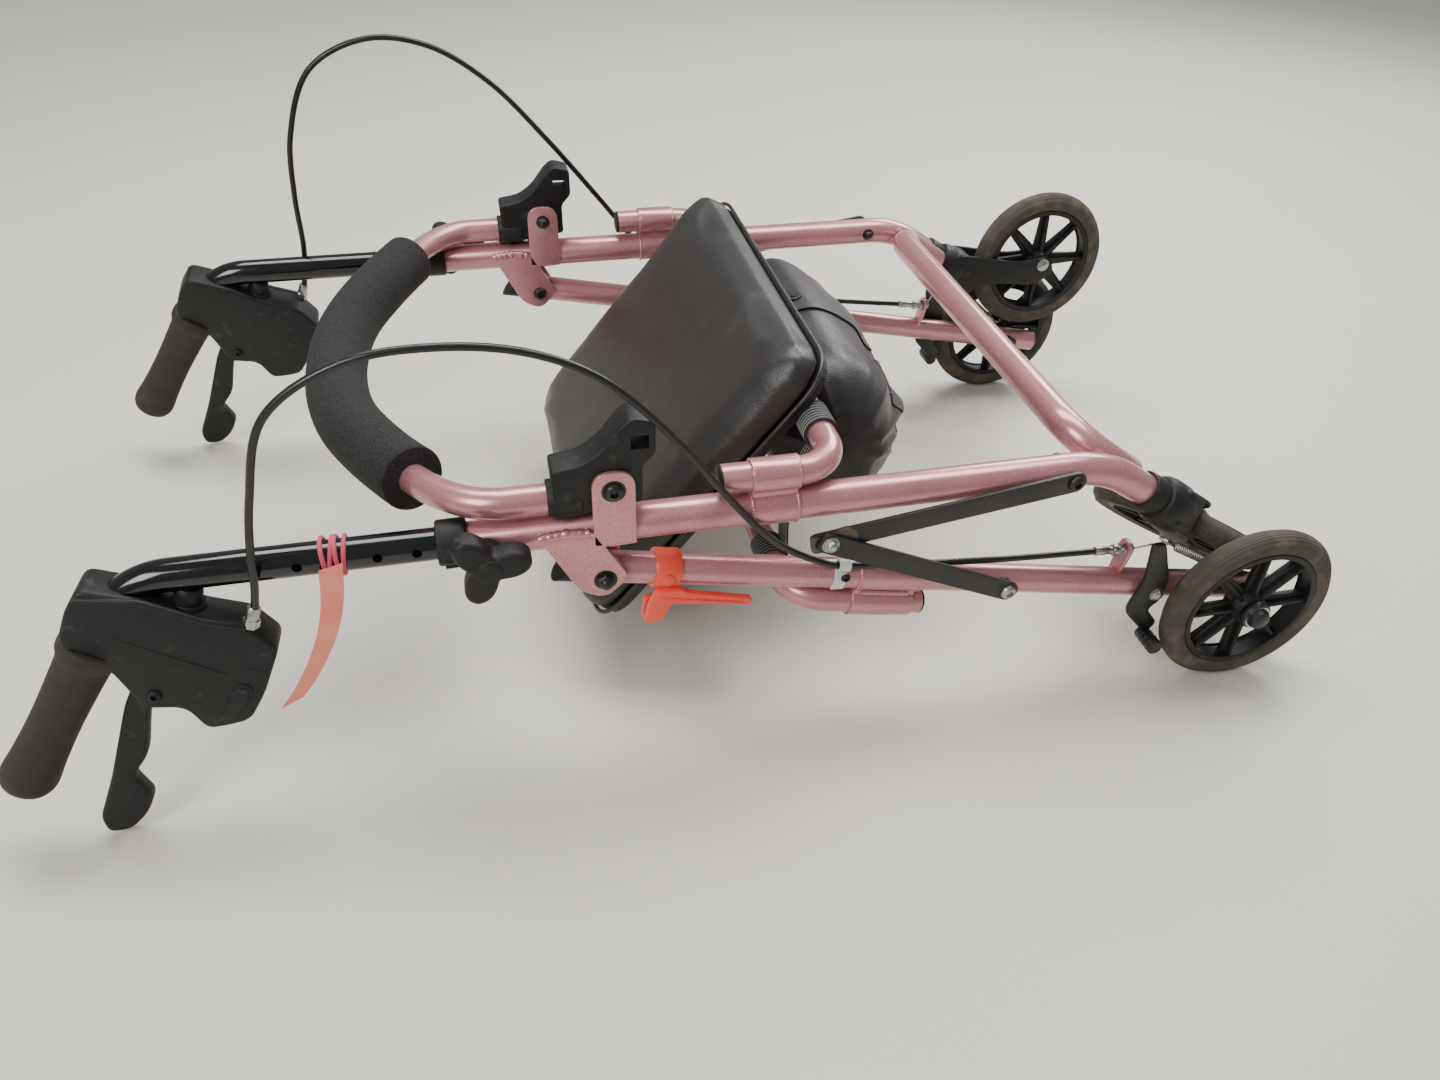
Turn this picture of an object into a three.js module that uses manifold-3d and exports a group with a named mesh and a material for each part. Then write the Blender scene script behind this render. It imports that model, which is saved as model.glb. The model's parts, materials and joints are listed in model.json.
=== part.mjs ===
// Folded four-wheeled rolling walker lying on its rear wheels and brake levers.
// Millimetres, +Z up. The frame is drawn with its main tubes level, +X towards the wheels,
// and the whole group is then tilted and set down on the floor at the end of the file.
import * as THREE from 'three';
import { mergeVertices } from 'three/addons/utils/BufferGeometryUtils.js';
import Module from 'manifold-3d';

const wasm = await Module();
wasm.setup();

// ---- driving dimensions -------------------------------------------------------------------
const HALF_SPACING = 228;        // middle plane to each side frame
const GAP = 0.3;                 // clearance between neighbouring pieces
const MAIN_R = 12.7;             // 1 inch main tubes
const MAIN_Z = 205;              // main tube axis height, level frame
const MAIN_START_X = -101;       // upper open end of the main tube
const MAIN_CORNER_X = 373.6;     // corner where the main tube turns down to the caster
const STEM_DEG = 34;             // slope of the caster end of the main tube
const STEM_LENGTH = 64.4;        // from the corner to the caster
const MAIN_BEND = 93;
const POST_R = 11.1;             // 7/8 inch handle posts
const SEAT_R = 10.5;             // seat U tubes
const SEAT_TUBE_RISE = 26.5;     // seat tube axis off its carrying tube axis
const SEAT_BEND = 31;
const FRONT_BAR_X = 161;         // front seat crossbar
const FOLD_X = -8;               // fold pivot of the rear frame
const FOLD_Z = 168;
const FOLD_DEG = 47;             // opening of the rear frame
const LEG_R = 11.75;
const LEG_DEG = 11.2;            // slope of the folded rear legs
const LEG_LENGTH = 586;
const REAR_BAR_ALONG = 148;      // rear seat crossbar, along the leg from the fold pivot
const AXLE_ALONG = 548;          // rear axle, along the leg from the fold pivot
const BACK_X = 0;                // backrest pivot
const BACK_Z = 242.5;
const EAR_IN = 12.2;             // pivot ears, inner face off the tube axis
const EAR_T = 3.4;
const EAR_R = 14.5;
const WHEEL_R = 76.2;            // 6 inch wheels
const TYRE_W = 21;               // tyre width; wheels pass one another closely when folded
const WHEEL_SIDES = 28;
const RIM_R = 59;
const WHEEL_OFF = 26;            // rear wheel centre plane outside the leg axis
const CASTER_DROP = 110;         // main tube end to caster axle, along the stem
const CASTER_TRAIL = 60;
const CASTER_TURN = { right: 112, left: 1 };   // how the casters happen to stand
const GRIP_ROLL = 8;             // grips splay outwards, degrees
const GRIP_DEG = 56;             // grips below the posts
const GRIP_CORNER_X = -310;
const TILT_DEG = 1.02;           // wheels' end raised when the walker lies on the floor
const KNOB_X = -86;              // clamp screw of the height knob
const BOLT_R = 3.2;              // pivot bolts, and the holes they pass
const BOLT_HOLE_R = 3.5;
const AXLE_R = 4;
const AXLE_HOLE_R = 4.3;
const SHOE_R = 6.5;              // brake shoe, and its gap to the tyre when released
const SHOE_GAP = 3;

const rad = THREE.MathUtils.degToRad;
const V = (x, y, z) => new THREE.Vector3(x, y, z);
const AXIS = { x: V(1, 0, 0), y: V(0, 1, 0), z: V(0, 0, 1) };
const SIDES = { right: -1, left: 1 };

// ---- solids -------------------------------------------------------------------------------
function toSolid(geometry) {
  const bare = geometry.clone();
  bare.deleteAttribute('normal');
  bare.deleteAttribute('uv');
  const welded = mergeVertices(bare, 1e-4);
  return new wasm.Manifold(new wasm.Mesh({
    numProp: 3,
    vertProperties: new Float32Array(welded.attributes.position.array),
    triVerts: new Uint32Array(welded.index.array),
  }));
}

function toGeometry(solid) {
  const mesh = solid.getMesh();
  const geometry = new THREE.BufferGeometry();
  const places = new THREE.BufferAttribute(new Float32Array(mesh.vertProperties), 3);
  geometry.setAttribute('position', places);
  geometry.setIndex(new THREE.BufferAttribute(new Uint32Array(mesh.triVerts), 1));
  const flat = geometry.toNonIndexed();
  flat.computeVertexNormals();
  return flat;
}

const join = (...parts) => toGeometry(parts.map(toSolid).reduce((a, b) => a.add(b)));
function carve(body, ...tools) {
  return toGeometry(tools.map(toSolid).reduce((left, tool) => left.subtract(tool), toSolid(body)));
}
const common = (a, b) => toGeometry(toSolid(a).intersect(toSolid(b)));

// A path of straight runs and round bends; rings sit only where the direction changes.
class BentPath extends THREE.Curve {
  constructor(corners, bend, stepDeg = 15) {
    super();
    this.stops = [corners[0].clone()];
    this.headings = [corners[1].clone().sub(corners[0]).normalize()];
    for (let i = 1; i < corners.length - 1; i += 1) {
      const into = corners[i].clone().sub(corners[i - 1]).normalize();
      const out = corners[i + 1].clone().sub(corners[i]).normalize();
      const turn = into.angleTo(out);
      const cut = bend * Math.tan(turn / 2);
      const hinge = new THREE.Vector3().crossVectors(into, out).normalize();
      const inward = new THREE.Vector3().crossVectors(hinge, into);
      const start = corners[i].clone().addScaledVector(into, -cut);
      const middle = start.clone().addScaledVector(inward, bend);
      const steps = Math.max(2, Math.ceil(THREE.MathUtils.radToDeg(turn) / stepDeg));
      for (let k = 0; k <= steps; k += 1) {
        const angle = (turn * k) / steps;
        this.stops.push(start.clone().sub(middle).applyAxisAngle(hinge, angle).add(middle));
        this.headings.push(into.clone().applyAxisAngle(hinge, angle));
      }
    }
    this.stops.push(corners.at(-1).clone());
    this.headings.push(this.headings.at(-1).clone());
    this.last = this.stops.length - 1;
  }

  getPointAt(u, target = V(0, 0, 0)) { return target.copy(this.stops[Math.round(u * this.last)]); }

  getTangentAt(u, target = V(0, 0, 0)) { return target.copy(this.headings[Math.round(u * this.last)]); }

  getSpacedPoints() { return this.stops.map((stop) => stop.clone()); }
}

function disc(radius, sides) {
  const points = [];
  for (let i = 0; i < sides; i += 1) {
    const angle = (2 * Math.PI * i) / sides;
    points.push(new THREE.Vector2(radius * Math.cos(angle), radius * Math.sin(angle)));
  }
  return new THREE.Shape(points);
}

function bentTube(corners, radius, bend, sides = 14, stepDeg = 18) {
  const path = new BentPath(corners, bend, stepDeg);
  return new THREE.ExtrudeGeometry(disc(radius, sides), { steps: path.last, extrudePath: path });
}

function rod(from, to, radius, sides = 14, endRadius = radius) {
  const geometry = new THREE.CylinderGeometry(endRadius, radius, from.distanceTo(to), sides);
  const heading = to.clone().sub(from).normalize();
  geometry.applyQuaternion(new THREE.Quaternion().setFromUnitVectors(AXIS.y, heading));
  return geometry.translate(...from.clone().add(to).multiplyScalar(0.5).toArray());
}

// Round hole or pin across the side frame at height and place `at`.
function acrossFrame(at, y, radius, sides = 10) {
  return rod(V(at.x, y - 20, at.z), V(at.x, y + 20, at.z), radius, sides);
}

function block(size, middle) {
  return new THREE.BoxGeometry(...size).translate(...middle);
}

// Outline in the X-Z plane, each corner [x, z, rounding], given a thickness across Y.
function plate(corners, y, thickness, curveSegments = 4) {
  const shape = new THREE.Shape();
  const count = corners.length;
  corners.forEach(([x, z, round = 0], i) => {
    const here = new THREE.Vector2(x, z);
    const before = new THREE.Vector2(...corners[(i + count - 1) % count].slice(0, 2));
    const after = new THREE.Vector2(...corners[(i + 1) % count].slice(0, 2));
    const reach = Math.min(round, 0.45 * here.distanceTo(before), 0.45 * here.distanceTo(after));
    const enter = here.clone().add(before.sub(here).setLength(reach || 1e-6));
    const leave = here.clone().add(after.sub(here).setLength(reach || 1e-6));
    if (i === 0) shape.moveTo(enter.x, enter.y);
    else shape.lineTo(enter.x, enter.y);
    if (reach > 0) shape.quadraticCurveTo(x, z, leave.x, leave.y);
  });
  shape.closePath();
  const options = { depth: thickness, bevelEnabled: false, curveSegments };
  const geometry = new THREE.ExtrudeGeometry(shape, options);
  return geometry.rotateX(Math.PI / 2).translate(0, y + thickness / 2, 0);
}

// Ring section [radius, offset along the axis] turned about Y.
function turned(section, sides) {
  return new THREE.LatheGeometry(section.map(([r, a]) => new THREE.Vector2(r, a)), sides);
}

// Bolt across Y with a head and a nut.
function crossBolt(at, y) {
  const seat = EAR_IN + EAR_T + GAP;
  const end = seat + 4;
  const headR = 6.5;
  const section = [[0, -end], [headR, -end], [headR, -seat], [BOLT_R, -seat],
    [BOLT_R, seat], [headR, seat], [headR, end], [0, end]];
  return turned(section, 10).translate(at.x, y, at.z);
}

// ---- materials ----------------------------------------------------------------------------
const paint = { color: 0xbe8282, roughness: 0.35, metalness: 0.6 };
const glossBlack = { color: 0x0c0c0d, roughness: 0.15, metalness: 0.3 };
const blackPlastic = { color: 0x1a1a1b, roughness: 0.6, metalness: 0 };
const rubber = { color: 0x2b2826, roughness: 0.85, metalness: 0 };
const tyreRubber = { color: 0x55504a, roughness: 0.85, metalness: 0 };
const foam = { color: 0x3a3735, roughness: 0.95, metalness: 0 };
const vinyl = { color: 0x35332f, roughness: 0.5, metalness: 0 };
const nylon = { color: 0x17171a, roughness: 0.8, metalness: 0 };
const steel = { color: 0xa7a7a5, roughness: 0.35, metalness: 1 };
const blackSteel = { color: 0x1d1c1b, roughness: 0.45, metalness: 0.4 };
const redPlastic = { color: 0xf0453e, roughness: 0.4, metalness: 0 };
const greyPlastic = { color: 0xc9c9c4, roughness: 0.5, metalness: 0 };
const wood = { color: 0x1d1b1a, roughness: 0.8, metalness: 0 };

const walker = new THREE.Group();
walker.name = 'folded_rolling_walker';

function add(name, geometry, look) {
  const mesh = new THREE.Mesh(geometry, new THREE.MeshStandardMaterial(look));
  mesh.name = name;
  walker.add(mesh);
}

// ---- directions shared by several pieces --------------------------------------------------
const stem = V(Math.cos(rad(STEM_DEG)), 0, -Math.sin(rad(STEM_DEG)));
const stemUp = V(Math.sin(rad(STEM_DEG)), 0, Math.cos(rad(STEM_DEG)));
const stemEnd = V(MAIN_CORNER_X, 0, MAIN_Z).addScaledVector(stem, STEM_LENGTH);
const legWay = V(Math.cos(rad(LEG_DEG)), 0, -Math.sin(rad(LEG_DEG)));
const legUp = V(Math.sin(rad(LEG_DEG)), 0, Math.cos(rad(LEG_DEG)));
const onLeg = (along, rise = 0, y = 0) => V(FOLD_X, y, FOLD_Z)
  .addScaledVector(legWay, along).addScaledVector(legUp, rise);

const backPivot = V(BACK_X, 0, BACK_Z);
const foldPivot = V(FOLD_X, 0, FOLD_Z);
const knobScrew = V(KNOB_X, 0, MAIN_Z);

// ---- main frame ---------------------------------------------------------------------------
const SLEEVE = { from: 97, to: 130 };
const BORE_END = 92;

function figureEightSleeve(centreA, centreB, way, length, radiusA, radiusB) {
  const half = way.clone().multiplyScalar(length / 2);
  const ringA = rod(centreA.clone().sub(half), centreA.clone().add(half), radiusA);
  const ringB = rod(centreB.clone().sub(half), centreB.clone().add(half), radiusB);
  const span = centreB.clone().sub(centreA);
  const web = new THREE.BoxGeometry(length, 14, span.length());
  const turn = new THREE.Quaternion().setFromUnitVectors(AXIS.z, span.clone().normalize());
  web.applyQuaternion(turn);
  const middle = centreA.clone().add(centreB).multiplyScalar(0.5);
  return join(ringA, ringB, web.translate(...middle.toArray()));
}

function pivotEars(y) {
  const ears = [];
  for (const face of [-1, 1]) {
    const earY = y + face * (EAR_IN + EAR_T / 2);
    ears.push(plate([[BACK_X - EAR_R, 198, 3], [BACK_X - EAR_R, BACK_Z + EAR_R, 13],
      [BACK_X + EAR_R, BACK_Z + EAR_R, 13], [BACK_X + EAR_R, 198, 3]], earY, EAR_T));
    ears.push(plate([[-52, 211, 4], [-15, 211, 3], [FOLD_X + 17, FOLD_Z, 8],
      [FOLD_X, FOLD_Z - 17, 10], [FOLD_X - 18, FOLD_Z - 8, 8]], earY, EAR_T));
  }
  return ears;
}

function mainTube(y) {
  const tube = bentTube([V(MAIN_START_X, y, MAIN_Z), V(MAIN_CORNER_X, y, MAIN_Z),
    V(stemEnd.x, y, stemEnd.z)], MAIN_R, MAIN_BEND, 16, 12);
  const seatZ = MAIN_Z + SEAT_TUBE_RISE;
  const middleX = (SLEEVE.from + SLEEVE.to) / 2;
  const sleeve = figureEightSleeve(V(middleX, y, MAIN_Z), V(middleX, y, seatZ), AXIS.x,
    SLEEVE.to - SLEEVE.from, MAIN_R + 1.2, SEAT_R + 2);
  const body = join(tube, sleeve, ...pivotEars(y));
  const postBore = rod(V(MAIN_START_X - 1, y, MAIN_Z), V(BORE_END, y, MAIN_Z), POST_R + GAP, 14);
  const seatBore = rod(V(SLEEVE.from - 1, y, seatZ), V(SLEEVE.to + 1, y, seatZ), SEAT_R + GAP + 0.1);
  const boltHoles = [backPivot, foldPivot, knobScrew].map((at) => acrossFrame(at, y, BOLT_HOLE_R));
  return carve(body, postBore, seatBore, ...boltHoles);
}

function seatTube(endAlong, barAlong, centre, way) {
  // U tube: two ends along the side frames, one bar across
  const at = (along, y) => centre.clone().addScaledVector(way, along).setY(y);
  return bentTube([at(endAlong, -HALF_SPACING), at(barAlong, -HALF_SPACING),
    at(barAlong, HALF_SPACING), at(endAlong, HALF_SPACING)], SEAT_R, SEAT_BEND);
}

for (const [name, side] of Object.entries(SIDES)) {
  add(`main_tube_${name}`, mainTube(side * HALF_SPACING), paint);
}
const seatTubeLine = V(0, 0, MAIN_Z + SEAT_TUBE_RISE);
add('seat_front_tube', seatTube(75, FRONT_BAR_X, seatTubeLine, AXIS.x), paint);

const CROSS_Y = HALF_SPACING - 2 * MAIN_R - GAP;     // its ends lie inside the caster stems
function frontCrossTube() {
  const corner = V(MAIN_CORNER_X - 8, 0, MAIN_Z + 5.4);
  const end = corner.clone().addScaledVector(stem, 62);
  return bentTube([end.clone().setY(-CROSS_Y), corner.clone().setY(-CROSS_Y),
    corner.clone().setY(CROSS_Y), end.clone().setY(CROSS_Y)], MAIN_R, 36);
}
add('front_cross_tube', frontCrossTube(), paint);

// ---- handles ------------------------------------------------------------------------------
const POST_INNER_X = -40;
const POST_BEND = 50;
const HEIGHT_HOLES = { first: -130, last: -210, step: 25 };
// Handle pieces are drawn in the plane of one post, then rolled outwards about its axis.
function rollHandle(geometry, side) {
  geometry.translate(0, 0, -MAIN_Z);
  geometry.rotateX(rad(GRIP_ROLL * side));
  return geometry.translate(0, side * HALF_SPACING, MAIN_Z);
}
const gripWay = V(-Math.cos(rad(GRIP_DEG)), 0, -Math.sin(rad(GRIP_DEG)));
const gripAt = (along) => V(GRIP_CORNER_X, 0, MAIN_Z).addScaledVector(gripWay, along);

function handlePost(side) {
  const corners = [V(POST_INNER_X, 0, MAIN_Z), V(GRIP_CORNER_X, 0, MAIN_Z), gripAt(165)];
  const post = bentTube(corners, POST_R, POST_BEND, 14);
  const holes = [];
  for (let x = HEIGHT_HOLES.first; x > HEIGHT_HOLES.last; x -= HEIGHT_HOLES.step) {
    holes.push(rod(V(x, side * 15, MAIN_Z), V(x, side * 6, MAIN_Z), BOLT_R, 6));
  }
  return carve(post, ...holes);
}

const GRIP = { from: 52, to: 182, r: 17.5 };
function grip() {
  const bore = POST_R + GAP;
  const section = [[bore, 0], [GRIP.r + 2.5, 0], [GRIP.r + 3, 9], [GRIP.r, 14], [GRIP.r - 1.5, 60],
    [GRIP.r, 105], [GRIP.r + 1, 121], [GRIP.r - 4, 130], [0, 130], [0, 114], [bore, 114], [bore, 0]];
  const sleeve = turned(section, 14);
  sleeve.applyQuaternion(new THREE.Quaternion().setFromUnitVectors(AXIS.y, gripWay));
  return sleeve.translate(...gripAt(GRIP.from).toArray());
}

function brakeHousing(side) {
  const body = plate([[-333, 210, 6], [-300, 197, 6], [-268, 178, 6], [-242, 168, 5],
    [-227, 147, 6], [-243, 112, 8], [-256, 92, 10], [-272, 90, 5], [-284, 90, 6], [-294, 110, 8],
    [-318, 114, 4], [-330, 146, 4], [-352, 158, 5], [-353, 176, 6], [-344, 195, 6]], 0, 31);
  const button = rod(V(-281, 0, 168), V(-275, 0, 190), 9, 12);
  const ferrule = rod(V(-246, side * 11, 154), V(-237, side * 11, 177), 4, 10);
  const throughLine = [V(-200, 0, MAIN_Z), V(GRIP_CORNER_X, 0, MAIN_Z), gripAt(120)];
  const postHole = bentTube(throughLine, POST_R + GAP, POST_BEND, 14);
  const leverSlot = block([80, 13.5, 70], [-315, 0, 107]);
  const gripRoom = rod(gripAt(GRIP.from - 0.6), gripAt(GRIP.to), GRIP.r + 3.8, 16);
  return carve(join(body, button, ferrule), postHole, leverSlot, gripRoom);
}

function brakeLever() {
  return plate([[-300, 132, 4], [-296, 118, 4], [-316, 112, 8], [-321, 97, 8], [-329, 68, 8],
    [-342, 52, 5], [-338, 42, 5], [-334, 32, 6], [-342, 16, 8], [-356, 3.2, 7], [-371, 4, 5],
    [-373, 18, 6], [-357, 52, 10], [-333, 112, 8], [-322, 130, 6]], 0, 12);
}

for (const [name, side] of Object.entries(SIDES)) {
  add(`handle_post_${name}`, rollHandle(handlePost(side), side), glossBlack);
  add(`grip_${name}`, rollHandle(grip(), side), rubber);
  add(`brake_housing_${name}`, rollHandle(brakeHousing(side), side), blackPlastic);
  add(`brake_lever_${name}`, rollHandle(brakeLever(), side), blackPlastic);
}

// Collar on the main tube mouth and the three-lobed clamp knob on its outer side.
function postCollar(y) {
  const section = [[POST_R + GAP, -16], [MAIN_R + 2.5, -16], [MAIN_R + 3, 4], [MAIN_R + 3 * GAP, 4],
    [MAIN_R + 3 * GAP, -1], [POST_R + GAP, -1], [POST_R + GAP, -16]];
  return turned(section, 14).rotateZ(-Math.PI / 2).translate(MAIN_START_X - GAP, y, MAIN_Z);
}

function clampKnob(y, side) {
  const outFrom = (distance) => V(KNOB_X, y + side * distance, MAIN_Z);
  const lobes = [];
  for (let k = 0; k < 3; k += 1) {
    const angle = rad(20 + 120 * k);
    const reach = 25;
    const tip = V(KNOB_X + reach * Math.cos(angle), y + side * 33, MAIN_Z + reach * Math.sin(angle));
    lobes.push(rod(outFrom(28), tip, 9, 8, 7));
  }
  const boss = rod(outFrom(MAIN_R + GAP), outFrom(36), 10.5, 12);
  const screw = rod(outFrom(POST_R + GAP), outFrom(20), 3, 10);
  return join(boss, screw, ...lobes);
}

for (const [name, side] of Object.entries(SIDES)) {
  add(`post_collar_${name}`, postCollar(side * HALF_SPACING), blackPlastic);
  add(`height_knob_${name}`, clampKnob(side * HALF_SPACING, side), blackPlastic);
}

// ---- backrest -----------------------------------------------------------------------------
const BACK_TUBE_R = 10.8;
const BACK_TUBE_Z = 231.5;
const halfBow = [[-40, HALF_SPACING], [-98, HALF_SPACING], [-150, 150], [-188, 60]];
const bowPoints = [...halfBow, ...halfBow.map(([x, y]) => [x, -y]).reverse()];
const bowHeight = (x) => BACK_TUBE_Z + Math.min(0, (x + 98) * 0.16);
const bowCorners = bowPoints.map(([x, y]) => V(x, y, bowHeight(x)));
add('backrest_tube', bentTube(bowCorners, BACK_TUBE_R, 42, 12, 22), paint);

function backrestFoam() {
  const inner = bowCorners.slice(1, -1);
  inner[0] = inner[1].clone().lerp(inner[0], 0.42);
  inner[inner.length - 1] = inner.at(-2).clone().lerp(inner.at(-1), 0.42);
  const outside = bentTube(inner, 23.5, 42, 16, 22);
  const hole = bentTube(bowCorners, BACK_TUBE_R + GAP, 42, 12, 22);
  return carve(outside, hole);
}
add('backrest_foam', backrestFoam(), foam);

function backrestBracket(y) {
  const body = plate([[-40, 259, 3], [-20, 262, 8], [-6, 272, 8], [6, 288, 8], [14, 294, 4],
    [29, 290, 4], [29, 266, 4], [20, 257, 4], [20, 229, 3], [-38, 220.5, 3]], y, 2 * EAR_IN - 2 * GAP);
  const socket = rod(V(-42, y, BACK_TUBE_Z), V(-18, y, BACK_TUBE_Z), BACK_TUBE_R + GAP);
  const slot = block([12, 30, 10], [18.5, y, 276]);
  return carve(body, socket, slot, acrossFrame(backPivot, y, BOLT_HOLE_R));
}
for (const [name, side] of Object.entries(SIDES)) {
  const y = side * HALF_SPACING;
  add(`backrest_bracket_${name}`, backrestBracket(y), blackPlastic);
  add(`backrest_bolt_${name}`, crossBolt(backPivot, y), steel);
  add(`fold_bolt_${name}`, crossBolt(foldPivot, y), steel);
}

// ---- rear frame ---------------------------------------------------------------------------
const REAR_SLEEVE = { from: 196, to: 248 };
const ARM_PIVOT_ALONG = 464;
const CABLE_R = 2.6;
const axlePoint = onLeg(AXLE_ALONG);
const armPivot = onLeg(ARM_PIVOT_ALONG);
const ANCHOR = { along: 430, rise: 30, inward: 4 };     // cable anchor tab on the leg

function rearLeg(y, side) {
  const tube = rod(onLeg(-13, 0, y), onLeg(LEG_LENGTH, 0, y), LEG_R, 16);
  const middle = (REAR_SLEEVE.from + REAR_SLEEVE.to) / 2;
  const sleeve = figureEightSleeve(onLeg(middle, 0, y), onLeg(middle, -SEAT_TUBE_RISE + 1, y), legWay,
    REAR_SLEEVE.to - REAR_SLEEVE.from, LEG_R + 0.9, SEAT_R + 2);
  const atAnchor = (step, rise = ANCHOR.rise) => onLeg(ANCHOR.along + step, rise, y - side * ANCHOR.inward);
  const tab = rod(atAnchor(-1.6), atAnchor(1.6), 8, 12);
  const web = block([3, 12, 22], atAnchor(0, 19).toArray());
  const body = join(tube, sleeve, tab, web);
  const seatBore = rod(onLeg(REAR_SLEEVE.from - 2, -SEAT_TUBE_RISE + 1, y),
    onLeg(REAR_SLEEVE.to + 2, -SEAT_TUBE_RISE + 1, y), SEAT_R + GAP);
  const foldHole = acrossFrame(foldPivot, y, BOLT_HOLE_R);
  const cableHole = rod(atAnchor(-5), atAnchor(5), CABLE_R + 0.6, 8);
  const axleHole = acrossFrame(axlePoint, y, AXLE_HOLE_R, 12);
  const armHole = acrossFrame(armPivot, y, BOLT_HOLE_R);
  return carve(body, seatBore, foldHole, cableHole, axleHole, armHole);
}

function legCap(y) {
  // plug whose bevel comes flat under the main tube when the legs are open
  const plug = rod(onLeg(-37, 0, y), onLeg(-13 - GAP, 0, y), LEG_R, 20);
  const tool = block([120, 60, 40], [0, 0, MAIN_Z - MAIN_R - FOLD_Z + 20 - 0.6]);
  tool.rotateY(rad(-FOLD_DEG)).translate(FOLD_X, y, FOLD_Z);
  return carve(plug, tool);
}

for (const [name, side] of Object.entries(SIDES)) {
  add(`rear_leg_${name}`, rearLeg(side * HALF_SPACING, side), paint);
  add(`leg_cap_${name}`, legCap(side * HALF_SPACING), blackPlastic);
}
add('seat_rear_tube', seatTube(258, REAR_BAR_ALONG, onLeg(0, -SEAT_TUBE_RISE + 1), legWay), paint);

// ---- brace links --------------------------------------------------------------------------
const FRONT_BOLT = V(340, 0, 206);
const ELBOW = V(152.4, 0, 179.8);
const REAR_BOLT = V(304.4, 0, 109.5);
const LINK_T = 3;
const FRONT_LINK_Y = MAIN_R + 3.2;      // inner face of the front link off the frame plane
const REAR_LINK_Y = FRONT_LINK_Y + LINK_T + GAP;

function flatLink(from, to, y, overrun, width = 17) {
  const way = to.clone().sub(from).normalize();
  const length = from.distanceTo(to);
  const half = width / 2;
  const endRounding = overrun > half ? 2 : 7;
  const link = plate([[-half, -half, 7], [length + overrun, -half, endRounding],
    [length + overrun, half, endRounding], [-half, half, 7]], 0, LINK_T);
  link.rotateY(-Math.atan2(way.z, way.x));
  return link.translate(from.x, y, from.z);
}

function studAcross(at, y, from, to, radius, sides = 12) {
  return rod(V(at.x, y + from, at.z), V(at.x, y + to, at.z), radius, sides);
}

for (const [name, side] of Object.entries(SIDES)) {
  const y = side * HALF_SPACING;
  const frontY = y + side * (FRONT_LINK_Y + LINK_T / 2);
  const rearY = y + side * (REAR_LINK_Y + LINK_T / 2);
  const frontTop = side * (FRONT_LINK_Y + LINK_T);
  const front = join(flatLink(FRONT_BOLT, ELBOW, frontY, 13),
    studAcross(FRONT_BOLT, y, side * (MAIN_R + GAP), frontTop, 6),
    studAcross(FRONT_BOLT, y, frontTop - side * 1, frontTop + side * 5, 6.5));
  add(`front_brace_${name}`, front, blackSteel);
  const rearTop = side * (REAR_LINK_Y + LINK_T);
  const rear = join(flatLink(REAR_BOLT, ELBOW, rearY, 8.5),
    studAcross(REAR_BOLT, y, side * (LEG_R + GAP), rearTop, 6),
    studAcross(REAR_BOLT, y, rearTop - side * 1, rearTop + side * 5, 6.5),
    studAcross(ELBOW, y, rearTop - side * 1, rearTop + side * 5, 7));
  add(`rear_brace_${name}`, rear, blackSteel);
}

// ---- rear wheels --------------------------------------------------------------------------
function tyre() {
  const half = TYRE_W / 2;
  const halfSection = [[RIM_R + GAP, half - 2], [RIM_R + 9, half], [WHEEL_R - 4.5, half - 2.5],
    [WHEEL_R, half - 8]];
  const mirrored = halfSection.map(([r, a]) => [r, -a]);
  return turned([...mirrored, ...halfSection.reverse(), mirrored[0]], WHEEL_SIDES);
}

function rim(hubR) {
  const hubHalf = TYRE_W / 2 + 1.2;
  const inside = RIM_R - 5;
  const band = turned([[inside, -9], [RIM_R, -9], [RIM_R, 9], [inside, 9], [inside, -9]], WHEEL_SIDES);
  const hub = turned([[0, -hubHalf], [hubR, -hubHalf], [hubR, hubHalf], [0, hubHalf]], 12);
  const parts = [band, hub];
  const spokes = 8;
  const [spokeFrom, spokeTo] = [hubR - 3, RIM_R - 3];
  for (let k = 0; k < spokes; k += 1) {
    const spoke = block([spokeTo - spokeFrom, 9, 7], [(spokeFrom + spokeTo) / 2, 0, 0]);
    parts.push(spoke.rotateY((2 * Math.PI * k) / spokes));
  }
  return carve(join(...parts), acrossFrame(V(0, 0, 0), 0, AXLE_HOLE_R, 12));
}

for (const [name, side] of Object.entries(SIDES)) {
  const centre = onLeg(AXLE_ALONG, 0, side * (HALF_SPACING + WHEEL_OFF)).toArray();
  add(`rear_tyre_${name}`, tyre().translate(...centre), tyreRubber);
  add(`rear_rim_${name}`, rim(16).translate(...centre), blackPlastic);
  const inner = -(LEG_R + WHEEL_OFF + 5);
  const section = [[0, inner - 4], [8, inner - 4], [8, inner + 4.5], [AXLE_R, inner + 4.5],
    [AXLE_R, 13.5], [13, 13.5], [12, 22], [8, 25], [0, 25]];
  const axle = turned(section, 14);
  if (side < 0) axle.rotateX(Math.PI);
  add(`rear_axle_${name}`, axle.translate(...centre), steel);
}

// ---- casters ------------------------------------------------------------------------------
function casterPlace(name, side) {
  const turn = rad(CASTER_TURN[name]);
  const trail = stemUp.clone().multiplyScalar(Math.cos(turn)).addScaledVector(AXIS.y, Math.sin(turn));
  const across = new THREE.Vector3().crossVectors(stem, trail);
  const basis = new THREE.Matrix4().makeBasis(trail, across, stem);
  return basis.setPosition(stemEnd.x, side * HALF_SPACING, stemEnd.z);
}

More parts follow.
